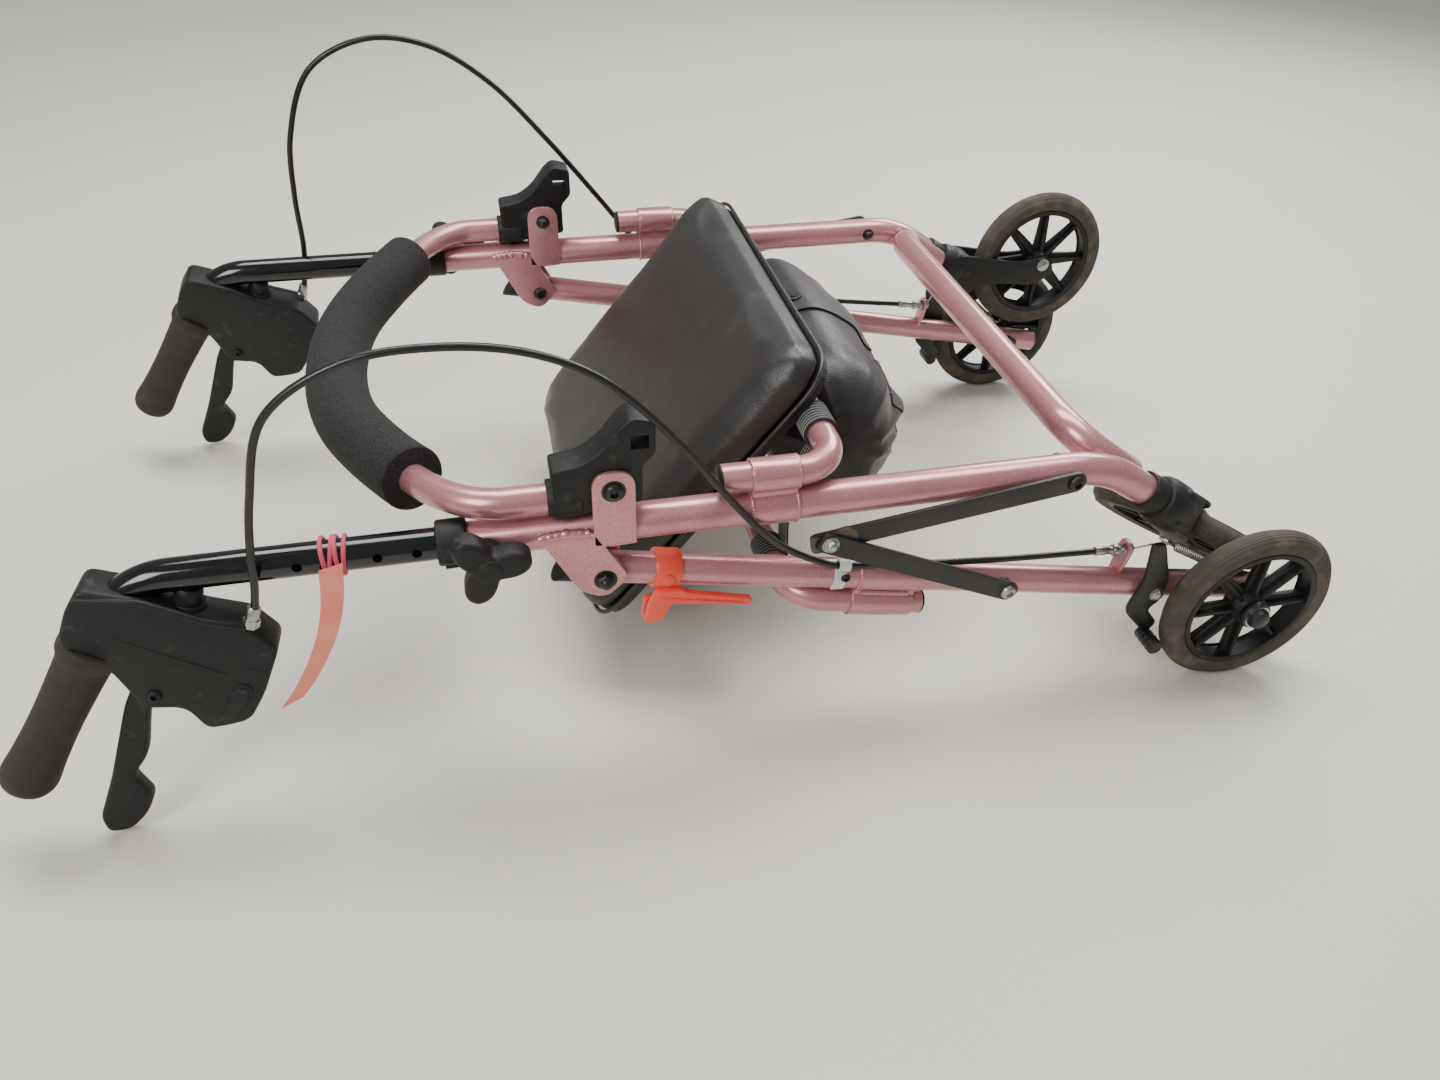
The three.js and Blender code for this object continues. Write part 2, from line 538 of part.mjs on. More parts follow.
// Drawn with the swivel axis along Z, the wheel trailing towards +X, the axle along Y.
const FORK_IN = TYRE_W / 2 + 1.5;
const FORK_T = 4.5;
function casterFork() {
  const arm = (face) => plate([[-17, 20, 4], [19, 18, 6], [48, 86, 10], [72, 112, 16], [58, 130, 12],
    [36, 118, 14], [12, 70, 12], [-16, 46, 6]], face * (FORK_IN + FORK_T / 2), FORK_T);
  const barrelSection = [[0, GAP], [15, GAP], [16.5, 6], [16.5, 26], [14, 30], [0, 30]];
  const barrel = turned(barrelSection, 12).rotateX(Math.PI / 2);
  const crown = block([34, 2 * FORK_IN + 2, 18], [0, 0, 31]);
  const acrossWheel = (reach, radius, sides) => rod(V(CASTER_TRAIL, -reach, CASTER_DROP),
    V(CASTER_TRAIL, reach, CASTER_DROP), radius, sides);
  const axle = acrossWheel(FORK_IN + FORK_T + 3, AXLE_R, 12);
  const room = acrossWheel(FORK_IN, WHEEL_R + 2, 32);
  return join(carve(join(barrel, crown, arm(-1), arm(1)), room), axle);
}

for (const [name, side] of Object.entries(SIDES)) {
  const place = casterPlace(name, side);
  const atAxle = (geometry) => geometry.translate(CASTER_TRAIL, 0, CASTER_DROP).applyMatrix4(place);
  add(`caster_fork_${name}`, casterFork().applyMatrix4(place), blackPlastic);
  add(`caster_tyre_${name}`, atAxle(tyre()), tyreRubber);
  add(`caster_rim_${name}`, atAxle(rim(13)), blackPlastic);
}

// ---- brake arms at the rear wheels --------------------------------------------------------
function brakeArm(side) {
  const { x, z } = armPivot;
  const outline = [[-19, 54, 4], [-5, 52, 4], [6, 18, 6], [8, -6, 6], [-6, -16, 6], [11, -30, 3],
    [2, -46, 5], [-26, -14, 8], [-18, 14, 8]];
  const blade = plate(outline.map(([u, w, round]) => [x + u, z + w, round]), side * (LEG_R + GAP + 2), 4);
  const toFoot = V(-0.94, 0, -0.34).normalize();
  const foot = axlePoint.clone().addScaledVector(toFoot, WHEEL_R + SHOE_GAP + SHOE_R);
  const shoeInner = foot.clone().setY(side * (LEG_R + GAP));
  const shoeOuter = foot.clone().setY(side * (WHEEL_OFF + 9));
  const shoe = rod(shoeInner, shoeOuter, SHOE_R, 12);
  const bolt = rod(V(x, side * 5, z), V(x, side * (LEG_R + 7), z), 3, 10);
  return join(blade, shoe, bolt);
}

function brakeSpring(side) {
  const y = side * 2;
  const top = onLeg(ARM_PIVOT_ALONG + 4, 40, y);
  const bottom = onLeg(ARM_PIVOT_ALONG + 66, 19, y);
  return rod(top, bottom, 4.2, 10);
}

for (const [name, side] of Object.entries(SIDES)) {
  const y = side * HALF_SPACING;
  add(`brake_arm_${name}`, brakeArm(side).translate(0, y, 0), blackSteel);
  add(`brake_spring_${name}`, brakeSpring(side).translate(0, y, 0), steel);
}

// ---- brake cables -------------------------------------------------------------------------
const CABLE_Y = 245.5;
const CLIP_ALONG = 178;
const cableEnd = onLeg(ANCHOR.along - 1, ANCHOR.rise);
const clipPoint = onLeg(CLIP_ALONG, 15.2);
const LEAD_TOP = V(-228.5, CABLE_Y, 222);       // the handle carries the cable up to here
const ARCH = {
  right: [[-219, 268], [-199, 323], [-151, 353], [-95, 358], [-45, 349], [-4, 327], [44, 275], [76, 230]],
  left: [[-227, 268], [-219, 325], [-192, 381], [-140, 405], [-88, 398], [-38, 366], [12, 311], [61, 249]],
};

const CLIP_OUT = 10;
const clipRun = (side) => [-9, 9].map((step) => clipPoint.clone().addScaledVector(legWay, step)
  .setY(side * (HALF_SPACING + CLIP_OUT)));

// Cable routes are drawn for the left side and mirrored for the right.
function cableAlong(points, side, steps) {
  const mirrored = points.map((point) => point.clone().multiply(V(1, side, 1)));
  const path = new THREE.CatmullRomCurve3(mirrored, false, 'centripetal');
  return new THREE.ExtrudeGeometry(disc(CABLE_R, 6), { steps, extrudePath: path });
}

function cableLead(side) {
  return cableAlong([V(-235.5, 243.5, 181), V(-231, 245, 202), LEAD_TOP], side, 6);
}

function brakeCable(name, side) {
  const points = [LEAD_TOP.clone().add(V(0.1, 0, GAP)), ...ARCH[name].map(([x, z]) => V(x, CABLE_Y, z)),
    V(101, 245, 197), V(126, 240.5, 171), ...clipRun(1),
    onLeg(300, 19, HALF_SPACING + 3), cableEnd.clone().setY(HALF_SPACING - ANCHOR.inward)];
  return cableAlong(points, side, 44);
}

function cableClip(side) {
  const half = 4.5;
  const cableAt = V(clipPoint.x, side * (HALF_SPACING + CLIP_OUT), clipPoint.z);
  const along = (point, reach) => [-reach, reach].map((step) => point.clone().addScaledVector(legWay, step));
  const centre = onLeg(CLIP_ALONG, 0, side * HALF_SPACING);
  const legRoom = rod(...along(centre, half + 1), LEG_R + GAP, 24);
  const band = carve(rod(...along(centre, half), LEG_R + 2.2, 24), legRoom);
  const keep = block([60, 18, 26], [centre.x, side * (HALF_SPACING + 14), centre.z + 7]);
  const loop = rod(...along(cableAt, half), 5, 12);
  const cableRoom = rod(...along(cableAt, half + 1), CABLE_R + 0.9, 12);
  return carve(join(common(band, keep), loop), cableRoom, legRoom);
}

for (const [name, side] of Object.entries(SIDES)) {
  add(`cable_lead_${name}`, cableLead(side), blackPlastic);
  add(`brake_cable_${name}`, brakeCable(name, side), blackPlastic);
  add(`cable_clip_${name}`, cableClip(side), greyPlastic);
}

// ---- seat and bag -------------------------------------------------------------------------
const SEAT = {
  slopeDeg: 51, front: 40, rear: 241, halfWidth: 171, corner: 34, board: 8, pad: 30, margin: 3, edge: 9,
};
const seatWay = V(-Math.cos(rad(SEAT.slopeDeg)), 0, -Math.sin(rad(SEAT.slopeDeg)));
const seatUp = V(-Math.sin(rad(SEAT.slopeDeg)), 0, Math.cos(rad(SEAT.slopeDeg)));
const seatBase = V(FRONT_BAR_X, 0, MAIN_Z + SEAT_TUBE_RISE).addScaledVector(seatUp, SEAT_R + 1);

// Rounded slab whose long way follows the seat; bottom face at the given rise.
function seatSlab(front, rear, halfWidth, corner, rise, thickness, bevel) {
  const a = front - bevel;
  const b = rear - bevel;
  const w = halfWidth - bevel;
  const shape = new THREE.Shape();
  shape.moveTo(a, -w + corner);
  shape.lineTo(a, w - corner);
  shape.quadraticCurveTo(a, w, a - corner, w);
  shape.lineTo(-b + corner, w);
  shape.quadraticCurveTo(-b, w, -b, w - corner);
  shape.lineTo(-b, -w + corner);
  shape.quadraticCurveTo(-b, -w, -b + corner, -w);
  shape.lineTo(a - corner, -w);
  shape.quadraticCurveTo(a, -w, a, -w + corner);
  const options = { depth: thickness - 2 * bevel, bevelEnabled: bevel > 0, bevelThickness: bevel,
    bevelSize: bevel, bevelSegments: 2, curveSegments: 6 };
  const geometry = new THREE.ExtrudeGeometry(shape, options);
  geometry.translate(0, 0, rise + bevel);
  const basis = new THREE.Matrix4().makeBasis(seatWay.clone().negate(), AXIS.y, seatUp).setPosition(seatBase);
  return geometry.applyMatrix4(basis);
}

const { front, rear, halfWidth, corner, board, pad, margin, edge } = SEAT;
add('seat_board', seatSlab(front - margin, rear - margin, halfWidth - margin, corner, 0, board, 0), wood);
add('seat_pad', seatSlab(front, rear, halfWidth, corner, board + GAP, pad, edge), vinyl);

function bag() {
  return plate([[180, 246, 6], [212, 252, 16], [258, 216, 22], [270, 168, 26], [252, 122, 26],
    [205, 98, 20], [158, 112, 12], [150, 150, 16], [142, 190, 14], [172, 214, 8]], 0, 280, 5);
}
add('under_seat_bag', bag(), nylon);

// ---- folding lock clip on the right rear leg ----------------------------------------------
function lockClip() {
  const y = -HALF_SPACING;
  const ends = [onLeg(36, 0, y), onLeg(55, 0, y)];
  const band = rod(...ends, LEG_R + 3, 20);
  const cheek = plate([[28, 152, 3], [47, 150, 3], [52, 146, 3], [99, 133, 3], [98, 127, 2],
    [38, 138, 4], [33, 124, 3], [18, 122, 4], [22, 140, 5]], y - 14, 6);
  return carve(join(band, cheek), rod(onLeg(30, 0, y), onLeg(61, 0, y), LEG_R + GAP, 20));
}
add('lock_clip', lockClip(), redPlastic);

// ---- lay the walker on the floor ----------------------------------------------------------
for (const mesh of walker.children) mesh.geometry.rotateY(rad(-TILT_DEG));
const bounds = new THREE.Box3().setFromObject(walker);
const middle = bounds.getCenter(V(0, 0, 0));
for (const mesh of walker.children) mesh.geometry.translate(-middle.x, -middle.y, -bounds.min.z);

export default walker;
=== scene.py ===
"""Folded rolling walker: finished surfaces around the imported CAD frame.

Every piece is drawn in millimetres in the walker's own level frame, the one in which the
main tubes run along X at height MAIN_Z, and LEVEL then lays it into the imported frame.
"""
import json
import math

import bmesh
import bpy
from mathutils import Matrix, Vector, noise


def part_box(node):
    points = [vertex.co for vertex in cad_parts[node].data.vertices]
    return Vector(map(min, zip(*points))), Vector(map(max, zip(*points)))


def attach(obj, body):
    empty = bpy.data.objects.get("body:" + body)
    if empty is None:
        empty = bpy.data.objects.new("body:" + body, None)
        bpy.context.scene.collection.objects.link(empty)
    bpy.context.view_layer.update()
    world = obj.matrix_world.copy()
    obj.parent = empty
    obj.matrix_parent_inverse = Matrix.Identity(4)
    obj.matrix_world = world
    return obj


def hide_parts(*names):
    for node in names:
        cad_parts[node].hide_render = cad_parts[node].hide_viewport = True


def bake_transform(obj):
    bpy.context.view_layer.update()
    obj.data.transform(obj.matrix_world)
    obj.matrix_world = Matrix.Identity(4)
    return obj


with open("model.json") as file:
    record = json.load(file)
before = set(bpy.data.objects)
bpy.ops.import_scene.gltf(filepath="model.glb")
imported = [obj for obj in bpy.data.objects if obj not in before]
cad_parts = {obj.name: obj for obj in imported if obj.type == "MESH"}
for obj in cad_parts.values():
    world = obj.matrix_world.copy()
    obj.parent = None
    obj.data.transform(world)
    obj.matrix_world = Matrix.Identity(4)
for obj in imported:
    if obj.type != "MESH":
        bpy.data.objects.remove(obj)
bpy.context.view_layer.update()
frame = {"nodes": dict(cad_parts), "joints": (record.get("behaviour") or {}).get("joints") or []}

# ---- the frame's own places ---------------------------------------------------------------
JOINTS = {joint["name"]: joint for joint in frame["joints"]}
SIDES = {"right": -1, "left": 1}
MM = 0.001
BACK_Z = 242.5                     # backrest pivot height in the level frame
POST_WAY = Vector(JOINTS["handle_height_right"]["axis"])
TILT = math.atan2(-POST_WAY.z, -POST_WAY.x)
LEVEL = (Matrix.Translation(Vector(JOINTS["backrest_flip"]["pos_m"]))
         @ Matrix.Rotation(-TILT, 4, "Y") @ Matrix.Scale(MM, 4)
         @ Matrix.Translation((0, 0, -BACK_Z)))
UNLEVEL = LEVEL.inverted()
HERE = Matrix.Identity(4)


def joint_at(name):
    """A joint's place in the level frame, millimetres."""
    return UNLEVEL @ Vector(JOINTS[name]["pos_m"])


def level_axis(name):
    return (UNLEVEL.to_3x3() @ Vector(JOINTS[name]["axis"])).normalized()


def middle_of(node):
    low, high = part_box(node)
    return UNLEVEL @ ((low + high) / 2)


# ---- driving dimensions, millimetres ------------------------------------------------------
HALF = 228                         # middle plane to each side frame
GAP = 0.3
MAIN_R, MAIN_Z = 12.7, 205
MAIN_START, MAIN_CORNER, MAIN_BEND = -101, 373.6, 93
STEM_DEG, STEM_LENGTH = 34, 64.4
POST_R = 11.1
SEAT_R, SEAT_RISE, SEAT_BEND = 10.5, 26.5, 31
FRONT_BAR_X = 161
LEG_R, LEG_LENGTH = 11.75, 586
REAR_DROP = SEAT_RISE - 1          # rear seat tube below the leg axis
EAR_IN, EAR_T = 12.2, 3.4
WHEEL_R, TYRE_W, RIM_R = 76.2, 21, 59
GRIP_ROLL, GRIP_DEG, GRIP_CORNER = 8, 56, -310
BACK_TUBE_R, BACK_TUBE_Z, FOAM_R = 10.8, 231.5, 23.5
CABLE_R = 2.6

FOLD = joint_at("fold")
AXLE = joint_at("rear_wheel_right")
LEG_WAY = Vector((AXLE.x - FOLD.x, 0, AXLE.z - FOLD.z)).normalized()
LEG_UP = Vector((-LEG_WAY.z, 0, LEG_WAY.x))
STEM = Vector((math.cos(math.radians(STEM_DEG)), 0, -math.sin(math.radians(STEM_DEG))))
STEM_END = Vector((MAIN_CORNER, 0, MAIN_Z)) + STEM * STEM_LENGTH
GRIP_WAY = Vector((-math.cos(math.radians(GRIP_DEG)), 0, -math.sin(math.radians(GRIP_DEG))))


def on_leg(along, rise=0.0, y=0.0):
    return Vector((FOLD.x, y, FOLD.z)) + LEG_WAY * along + LEG_UP * rise


def grip_at(along):
    return Vector((GRIP_CORNER, 0, MAIN_Z)) + GRIP_WAY * along


def handle_place(side):
    """Handle pieces are drawn in their post's plane, then rolled outwards about the post."""
    return (LEVEL @ Matrix.Translation((0, side * HALF, MAIN_Z))
            @ Matrix.Rotation(math.radians(GRIP_ROLL) * side, 4, "X")
            @ Matrix.Translation((0, 0, -MAIN_Z)))


def facing(at, way):
    """Local +Z turned to point along way, standing at a point."""
    return Matrix.Translation(at) @ Vector(way).to_track_quat("Z", "Y").to_matrix().to_4x4()


# ---- camera, floor and lights -------------------------------------------------------------
CAMERA_AT = Vector((-0.1858, -0.8145, 0.6612))
CAMERA_HEADING, CAMERA_DOWN, CAMERA_ROLL = 15.17, 38.09, 3.34


def camera():
    heading, down, roll = (math.radians(a) for a in (CAMERA_HEADING, CAMERA_DOWN, CAMERA_ROLL))
    ahead = Vector((math.sin(heading) * math.cos(down), math.cos(heading) * math.cos(down),
                    -math.sin(down)))
    level_right = Vector((math.cos(heading), -math.sin(heading), 0))
    level_up = level_right.cross(ahead)
    right = level_right * math.cos(roll) + level_up * math.sin(roll)
    up = level_up * math.cos(roll) - level_right * math.sin(roll)
    data = bpy.data.cameras.new("camera")
    data.lens, data.sensor_width = 27, 36
    taker = bpy.data.objects.new("camera", data)
    turn = Matrix((right, up, -ahead)).transposed().to_4x4()
    taker.matrix_world = Matrix.Translation(CAMERA_AT) @ turn
    bpy.context.scene.collection.objects.link(taker)
    bpy.context.scene.camera = taker


def softbox(name, at, aim, size, watts):
    data = bpy.data.lights.new(name, "AREA")
    data.shape, data.size, data.size_y, data.energy = "RECTANGLE", size[0], size[1], watts
    lamp = bpy.data.objects.new(name, data)
    lamp.matrix_world = facing(at, Vector(at) - Vector(aim))
    bpy.context.scene.collection.objects.link(lamp)


def studio():
    softbox("overhead", (0.2, 0.5, 2.4), (0, 0, 0), (2.6, 1.0), 84)
    softbox("front_left", (-1.8, -1.6, 1.9), (0, 0, 0.1), (1.2, 1.2), 56)
    softbox("back_right", (1.7, 1.6, 1.6), (0.1, 0, 0.1), (1.4, 0.7), 44)
    world = bpy.data.worlds.new("pale_room")
    bpy.context.scene.world = world
    world.use_nodes = True
    world.node_tree.nodes["Background"].inputs["Color"].default_value = (0.86, 0.88, 0.9, 1)
    world.node_tree.nodes["Background"].inputs["Strength"].default_value = 0.42


# ---- materials ----------------------------------------------------------------------------
def linear(code):
    """sRGB hex colour to linear RGBA."""
    parts = [int(code[i:i + 2], 16) / 255 for i in (0, 2, 4)]
    return [c / 12.92 if c <= 0.04045 else ((c + 0.055) / 1.055) ** 2.4 for c in parts] + [1]


def node(tree, kind, links=None, **settings):
    """Adds a node; settings are its own properties, links its inputs, values or sockets."""
    made = tree.nodes.new(kind)
    for key, value in settings.items():
        setattr(made, key, value)
    for key, value in (links or {}).items():
        if isinstance(value, bpy.types.NodeSocket):
            tree.links.new(value, made.inputs[key])
        else:
            made.inputs[key].default_value = value
    return made


def per_mm(size):
    """Texture scale for a pattern of this size in millimetres."""
    return 1 / (size * MM)


class Finish:
    """One material: patchy colour and roughness, and relief laid one layer over another."""

    def __init__(self, name, dark, light, patch, rough, **shader):
        self.material = bpy.data.materials.new(name)
        self.material.use_nodes = True
        self.tree = self.material.node_tree
        self.shader = self.tree.nodes["Principled BSDF"]
        self.place = node(self.tree, "ShaderNodeTexCoord").outputs["Object"]
        self.reliefs = []
        patches = self.mottling(patch, detail=5)
        self.colour = node(self.tree, "ShaderNodeMix", {0: patches, 6: linear(dark), 7: linear(light)},
                           data_type="RGBA").outputs[2]
        spread = {"Value": patches, "From Min": 0.3, "From Max": 0.7, "To Min": rough[0], "To Max": rough[1]}
        self.rough = node(self.tree, "ShaderNodeMapRange", spread).outputs["Result"]
        for key, value in shader.items():
            self.shader.inputs[key.replace("_", " ").title().replace("Ior", "IOR")].default_value = value

    def mottling(self, size, detail=3.0, stretch=(1, 1, 1)):
        """Uneven patches of about this size in millimetres, drawn out along an axis by stretch."""
        way = node(self.tree, "ShaderNodeMapping", {"Vector": self.place, "Scale": [1 / s for s in stretch]})
        links = {"Vector": way.outputs[0], "Scale": per_mm(size), "Detail": detail, "Roughness": 0.55}
        return node(self.tree, "ShaderNodeTexNoise", links).outputs["Fac"]

    def pebbles(self, size):
        """Domed grains packed side by side, low where they meet."""
        grains = node(self.tree, "ShaderNodeTexVoronoi", {"Vector": self.place, "Scale": per_mm(size)})
        domed = {"Value": grains.outputs["Distance"], "From Min": 0.75, "From Max": 0.0}
        return node(self.tree, "ShaderNodeMapRange", domed).outputs["Result"]

    def threads(self, size, way):
        """Parallel ridges, one every size millimetres across an axis."""
        links = {"Vector": self.place, "Scale": per_mm(size) * math.pi / 10}
        ridge = node(self.tree, "ShaderNodeTexWave", links, bands_direction=way)
        lifted = {"Value": ridge.outputs["Fac"], "From Min": 0.1, "From Max": 0.9}
        return node(self.tree, "ShaderNodeMapRange", lifted).outputs["Result"]

    def stain(self, value, low, high, colour, rough=None):
        """Another colour, and roughness, coming in as value goes from low to high."""
        edge = {"Value": value, "From Min": low, "From Max": high}
        where = node(self.tree, "ShaderNodeMapRange", edge).outputs["Result"]
        self.colour = node(self.tree, "ShaderNodeMix", {0: where, 6: self.colour, 7: linear(colour)},
                           data_type="RGBA").outputs[2]
        if rough is not None:
            self.rough = node(self.tree, "ShaderNodeMix", {0: where, 2: self.rough, 3: rough}).outputs[0]
        return self

    def raise_by(self, height, depth):
        """Notes relief depth millimetres deep from a 0 to 1 height."""
        self.reliefs.append((height, depth))
        return self

    def done(self):
        """Lays each relief on the one before and joins everything to the shader."""
        normal = None
        for height, depth in self.reliefs:
            links = {"Height": height, "Distance": depth * MM, "Strength": 1.0}
            if normal:
                links["Normal"] = normal
            normal = node(self.tree, "ShaderNodeBump", links).outputs["Normal"]
        for key, value in (("Base Color", self.colour), ("Roughness", self.rough), ("Normal", normal)):
            if value:
                self.tree.links.new(value, self.shader.inputs[key])
        return self.material


def metallic_enamel():
    """Rose metallic enamel baked on aluminium tube: bright flakes under a clear gloss coat.
    Flakes are drawn about 0.8 mm wide, coarser than the real ones, so that they show."""
    f = Finish("rose_metallic_enamel", "b27378", "c4888b", 45, (0.26, 0.36),
               metallic=0.55, coat_weight=0.5, coat_roughness=0.09)
    f.stain(f.mottling(0.8, 1), 0.62, 0.78, "e6bcbc")
    f.stain(f.mottling(9, 8), 0.705, 0.715, "8d8785", 0.45)      # small chips to bare metal
    f.stain(f.mottling(60, 6), 0.6, 0.8, "94646a", 0.5)          # scuffed, dusty patches
    return f.raise_by(f.mottling(2.2, 1), 0.02).done()


def gloss_black_enamel():
    """Black gloss enamel on steel tube, with faint rub marks along the post."""
    f = Finish("gloss_black_enamel", "050506", "0c0c0d", 60, (0.1, 0.18),
               coat_weight=0.2, coat_roughness=0.05)
    f.stain(f.mottling(7, 6, stretch=(9, 1, 1)), 0.62, 0.8, "2b2b2c", 0.38)
    return f.raise_by(f.mottling(3, 1), 0.01).done()


def moulded_abs():
    """Black ABS from a spark-eroded mould: a fine even grain, dusty in patches."""
    f = Finish("moulded_black_abs", "0f0f0f", "191918", 40, (0.46, 0.62), specular_ior_level=0.35)
    f.stain(f.mottling(14, 8), 0.6, 0.76, "3a3937", 0.75)
    return f.raise_by(f.pebbles(0.9), 0.05).raise_by(f.mottling(6, 2), 0.05).done()


def grip_rubber():
    """Moulded thermoplastic rubber, browned and matted by hands."""
    f = Finish("moulded_grip_rubber", "191613", "2c2621", 30, (0.65, 0.85))
    f.stain(f.mottling(26, 9), 0.5, 0.78, "40382e", 0.92)
    return f.raise_by(f.mottling(1.4, 4), 0.16).raise_by(f.pebbles(3.2), 0.08).done()


def eva_foam():
    """Closed-cell EVA foam: skin of small open pores, charcoal, no gloss, with painted shade darkening the
    hollows between the grains.
    """
    f = Finish("closed_cell_eva_foam", "1d1b1a", "2a2826", 30, (0.88, 0.97))
    # painted shade: darker where the grains meet, in the same hollows that the relief below makes
    f.stain(f.pebbles(1.5), 0.55, 0.2, "100f0e")
    f.stain(f.mottling(16, 8), 0.66, 0.8, "3a3633")
    return f.raise_by(f.pebbles(1.5), 0.3).raise_by(f.mottling(9, 3), 0.25).done()


def tyre_rubber():
    """Solid polyurethane tyre, grey-brown with floor dust rubbed into the tread."""
    f = Finish("solid_tyre_rubber", "322e29", "464038", 40, (0.75, 0.92))
    f.stain(f.mottling(20, 9), 0.48, 0.85, "6b6154", 0.95)
    return f.raise_by(f.mottling(1.2, 5), 0.12).done()


def seat_vinyl():
    """Coated vinyl upholstery, satin, with a fine pebble grain about 1.4 mm across."""
    f = Finish("pebbled_seat_vinyl", "232120", "2e2c29", 80, (0.36, 0.47), specular_ior_level=0.5)
    f.stain(f.mottling(40, 8), 0.6, 0.85, "3b3834", 0.52)
    return f.raise_by(f.pebbles(1.4), 0.09).raise_by(f.mottling(30, 3), 0.5).done()


def coated_nylon():
    """Polyurethane-coated nylon: plain weave about 1 mm a thread, slack wrinkles, faint sheen."""
    f = Finish("coated_black_nylon", "0b0b0d", "17171a", 50, (0.36, 0.52), sheen_weight=0.1)
    for way in ("X", "Z"):
        f.raise_by(f.threads(1.1, way), 0.04)
    return f.raise_by(f.mottling(26, 4, stretch=(1, 2.4, 1)), 1.6).done()


def woven_webbing():
    """Ribbed polyester webbing. Its ribs are drawn 3.2 mm apart, coarser than the real ones, to show."""
    f = Finish("ribbed_black_webbing", "121214", "242427", 6, (0.7, 0.9), sheen_weight=0.3)
    return f.raise_by(f.threads(3.2, "Y"), 0.7).done()


def grey_felt():
    """Needled grey felt lining: short fibres of several greys."""
    f = Finish("needled_grey_felt", "4a4a4b", "6d6d6e", 3, (0.9, 1.0), sheen_weight=0.3)
    f.stain(f.mottling(1.5, 3), 0.55, 0.7, "9a9a99").stain(f.mottling(2.1, 3), 0.6, 0.7, "262627")
    return f.raise_by(f.mottling(1.2, 4), 0.35).done()


def zinc_steel():
    """Bright zinc-plated steel, drawn or turned, slightly dulled."""
    f = Finish("zinc_plated_steel", "8d8d8b", "c2c1bd", 5, (0.24, 0.45), metallic=1.0)
    return f.raise_by(f.mottling(0.9, 3), 0.02).done()


def worn_black_steel():
    """Black powder-coated flat bar with rubbed, slightly brown faces."""
    f = Finish("worn_black_steel", "0d0c0c", "181615", 30, (0.36, 0.52))
    f.stain(f.mottling(11, 8, stretch=(5, 1, 1)), 0.6, 0.78, "45403a", 0.6)
    return f.raise_by(f.mottling(1.6, 3), 0.04).done()


def bare_rubbed_steel():
    """Coating rubbed off to brownish bare steel where the links turn on one another."""
    f = Finish("rubbed_brown_steel", "3e352d", "6b6056", 5, (0.35, 0.55), metallic=0.7)
    return f.raise_by(f.mottling(1.2, 4), 0.04).done()


def red_polypropylene():
    """Moulded red polypropylene, satin, a little light passing through thin edges."""
    f = Finish("moulded_red_polypropylene", "e33a30", "f4553f", 12, (0.3, 0.45), subsurface_weight=0.1)
    return f.raise_by(f.mottling(1.5, 2), 0.03).done()


def grey_nylon():
    """Moulded light grey nylon clip, satin."""
    f = Finish("moulded_grey_nylon", "c2c3c0", "dcdcd8", 6, (0.4, 0.55), subsurface_weight=0.1)
    return f.raise_by(f.mottling(1.5, 2), 0.03).done()


def sheath_pvc():
    """Extruded black PVC cable sheath, satin gloss, dust in patches."""
    f = Finish("extruded_sheath_pvc", "0b0b0b", "191918", 12, (0.25, 0.42))
    f.stain(f.mottling(9, 7), 0.62, 0.78, "383633", 0.7)
    return f.raise_by(f.mottling(1.8, 2), 0.05).done()


def satin_ribbon():
    """Woven satin ribbon, orange red, with a soft sheen."""
    f = Finish("orange_satin_ribbon", "dd5f4c", "ea9a82", 16, (0.35, 0.5), sheen_weight=0.3)
    return f.raise_by(f.mottling(0.8, 2, stretch=(6, 1, 1)), 0.06).done()


def pink_elastic():
    """Braided elastic cord, strong pink."""
    f = Finish("braided_pink_elastic", "b01c3e", "d43158", 2, (0.6, 0.8), sheen_weight=0.3)
    return f.raise_by(f.mottling(0.9, 2), 0.2).done()


def black_board():
    """Black laminate-faced board."""
    f = Finish("laminated_black_board", "161514", "24211f", 8, (0.5, 0.65))
    return f.raise_by(f.mottling(1.5, 3, stretch=(1, 8, 1)), 0.05).done()


ENAMEL, POST_BLACK, ABS, GRIP_LOOK = metallic_enamel(), gloss_black_enamel(), moulded_abs(), grip_rubber()
FOAM, TYRE, VINYL, NYLON = eva_foam(), tyre_rubber(), seat_vinyl(), coated_nylon()
WEBBING, FELT, ZINC, BLACK_STEEL = woven_webbing(), grey_felt(), zinc_steel(), worn_black_steel()
BROWN_STEEL, RED, GREY, SHEATH = bare_rubbed_steel(), red_polypropylene(), grey_nylon(), sheath_pvc()
RIBBON, ELASTIC, BOARD = satin_ribbon(), pink_elastic(), black_board()


# ---- shapes -------------------------------------------------------------------------------
def bends(corners, bend, step_deg=4, spacing=None):
    """A line of straight runs and round bends; spacing adds points along the straight runs."""
    corners = [Vector(c) for c in corners]
    line = [corners[0]]
    for before, here, after in zip(corners, corners[1:], corners[2:]):
        into, out = (here - before).normalized(), (after - here).normalized()
        turn = into.angle(out)
        hinge = into.cross(out).normalized()
        start = here - into * bend * math.tan(turn / 2)
        middle = start + hinge.cross(into) * bend
        steps = max(3, round(math.degrees(turn) / step_deg))
        for k in range(steps + 1):
            line.append(middle + Matrix.Rotation(turn * k / steps, 3, hinge) @ (start - middle))
    line.append(corners[-1])
    if not spacing:
        return line
    fine = [line[0]]
    for a, b in zip(line, line[1:]):
        parts = max(1, round((b - a).length / spacing))
        fine += [a.lerp(b, k / parts) for k in range(1, parts + 1)]
    return fine


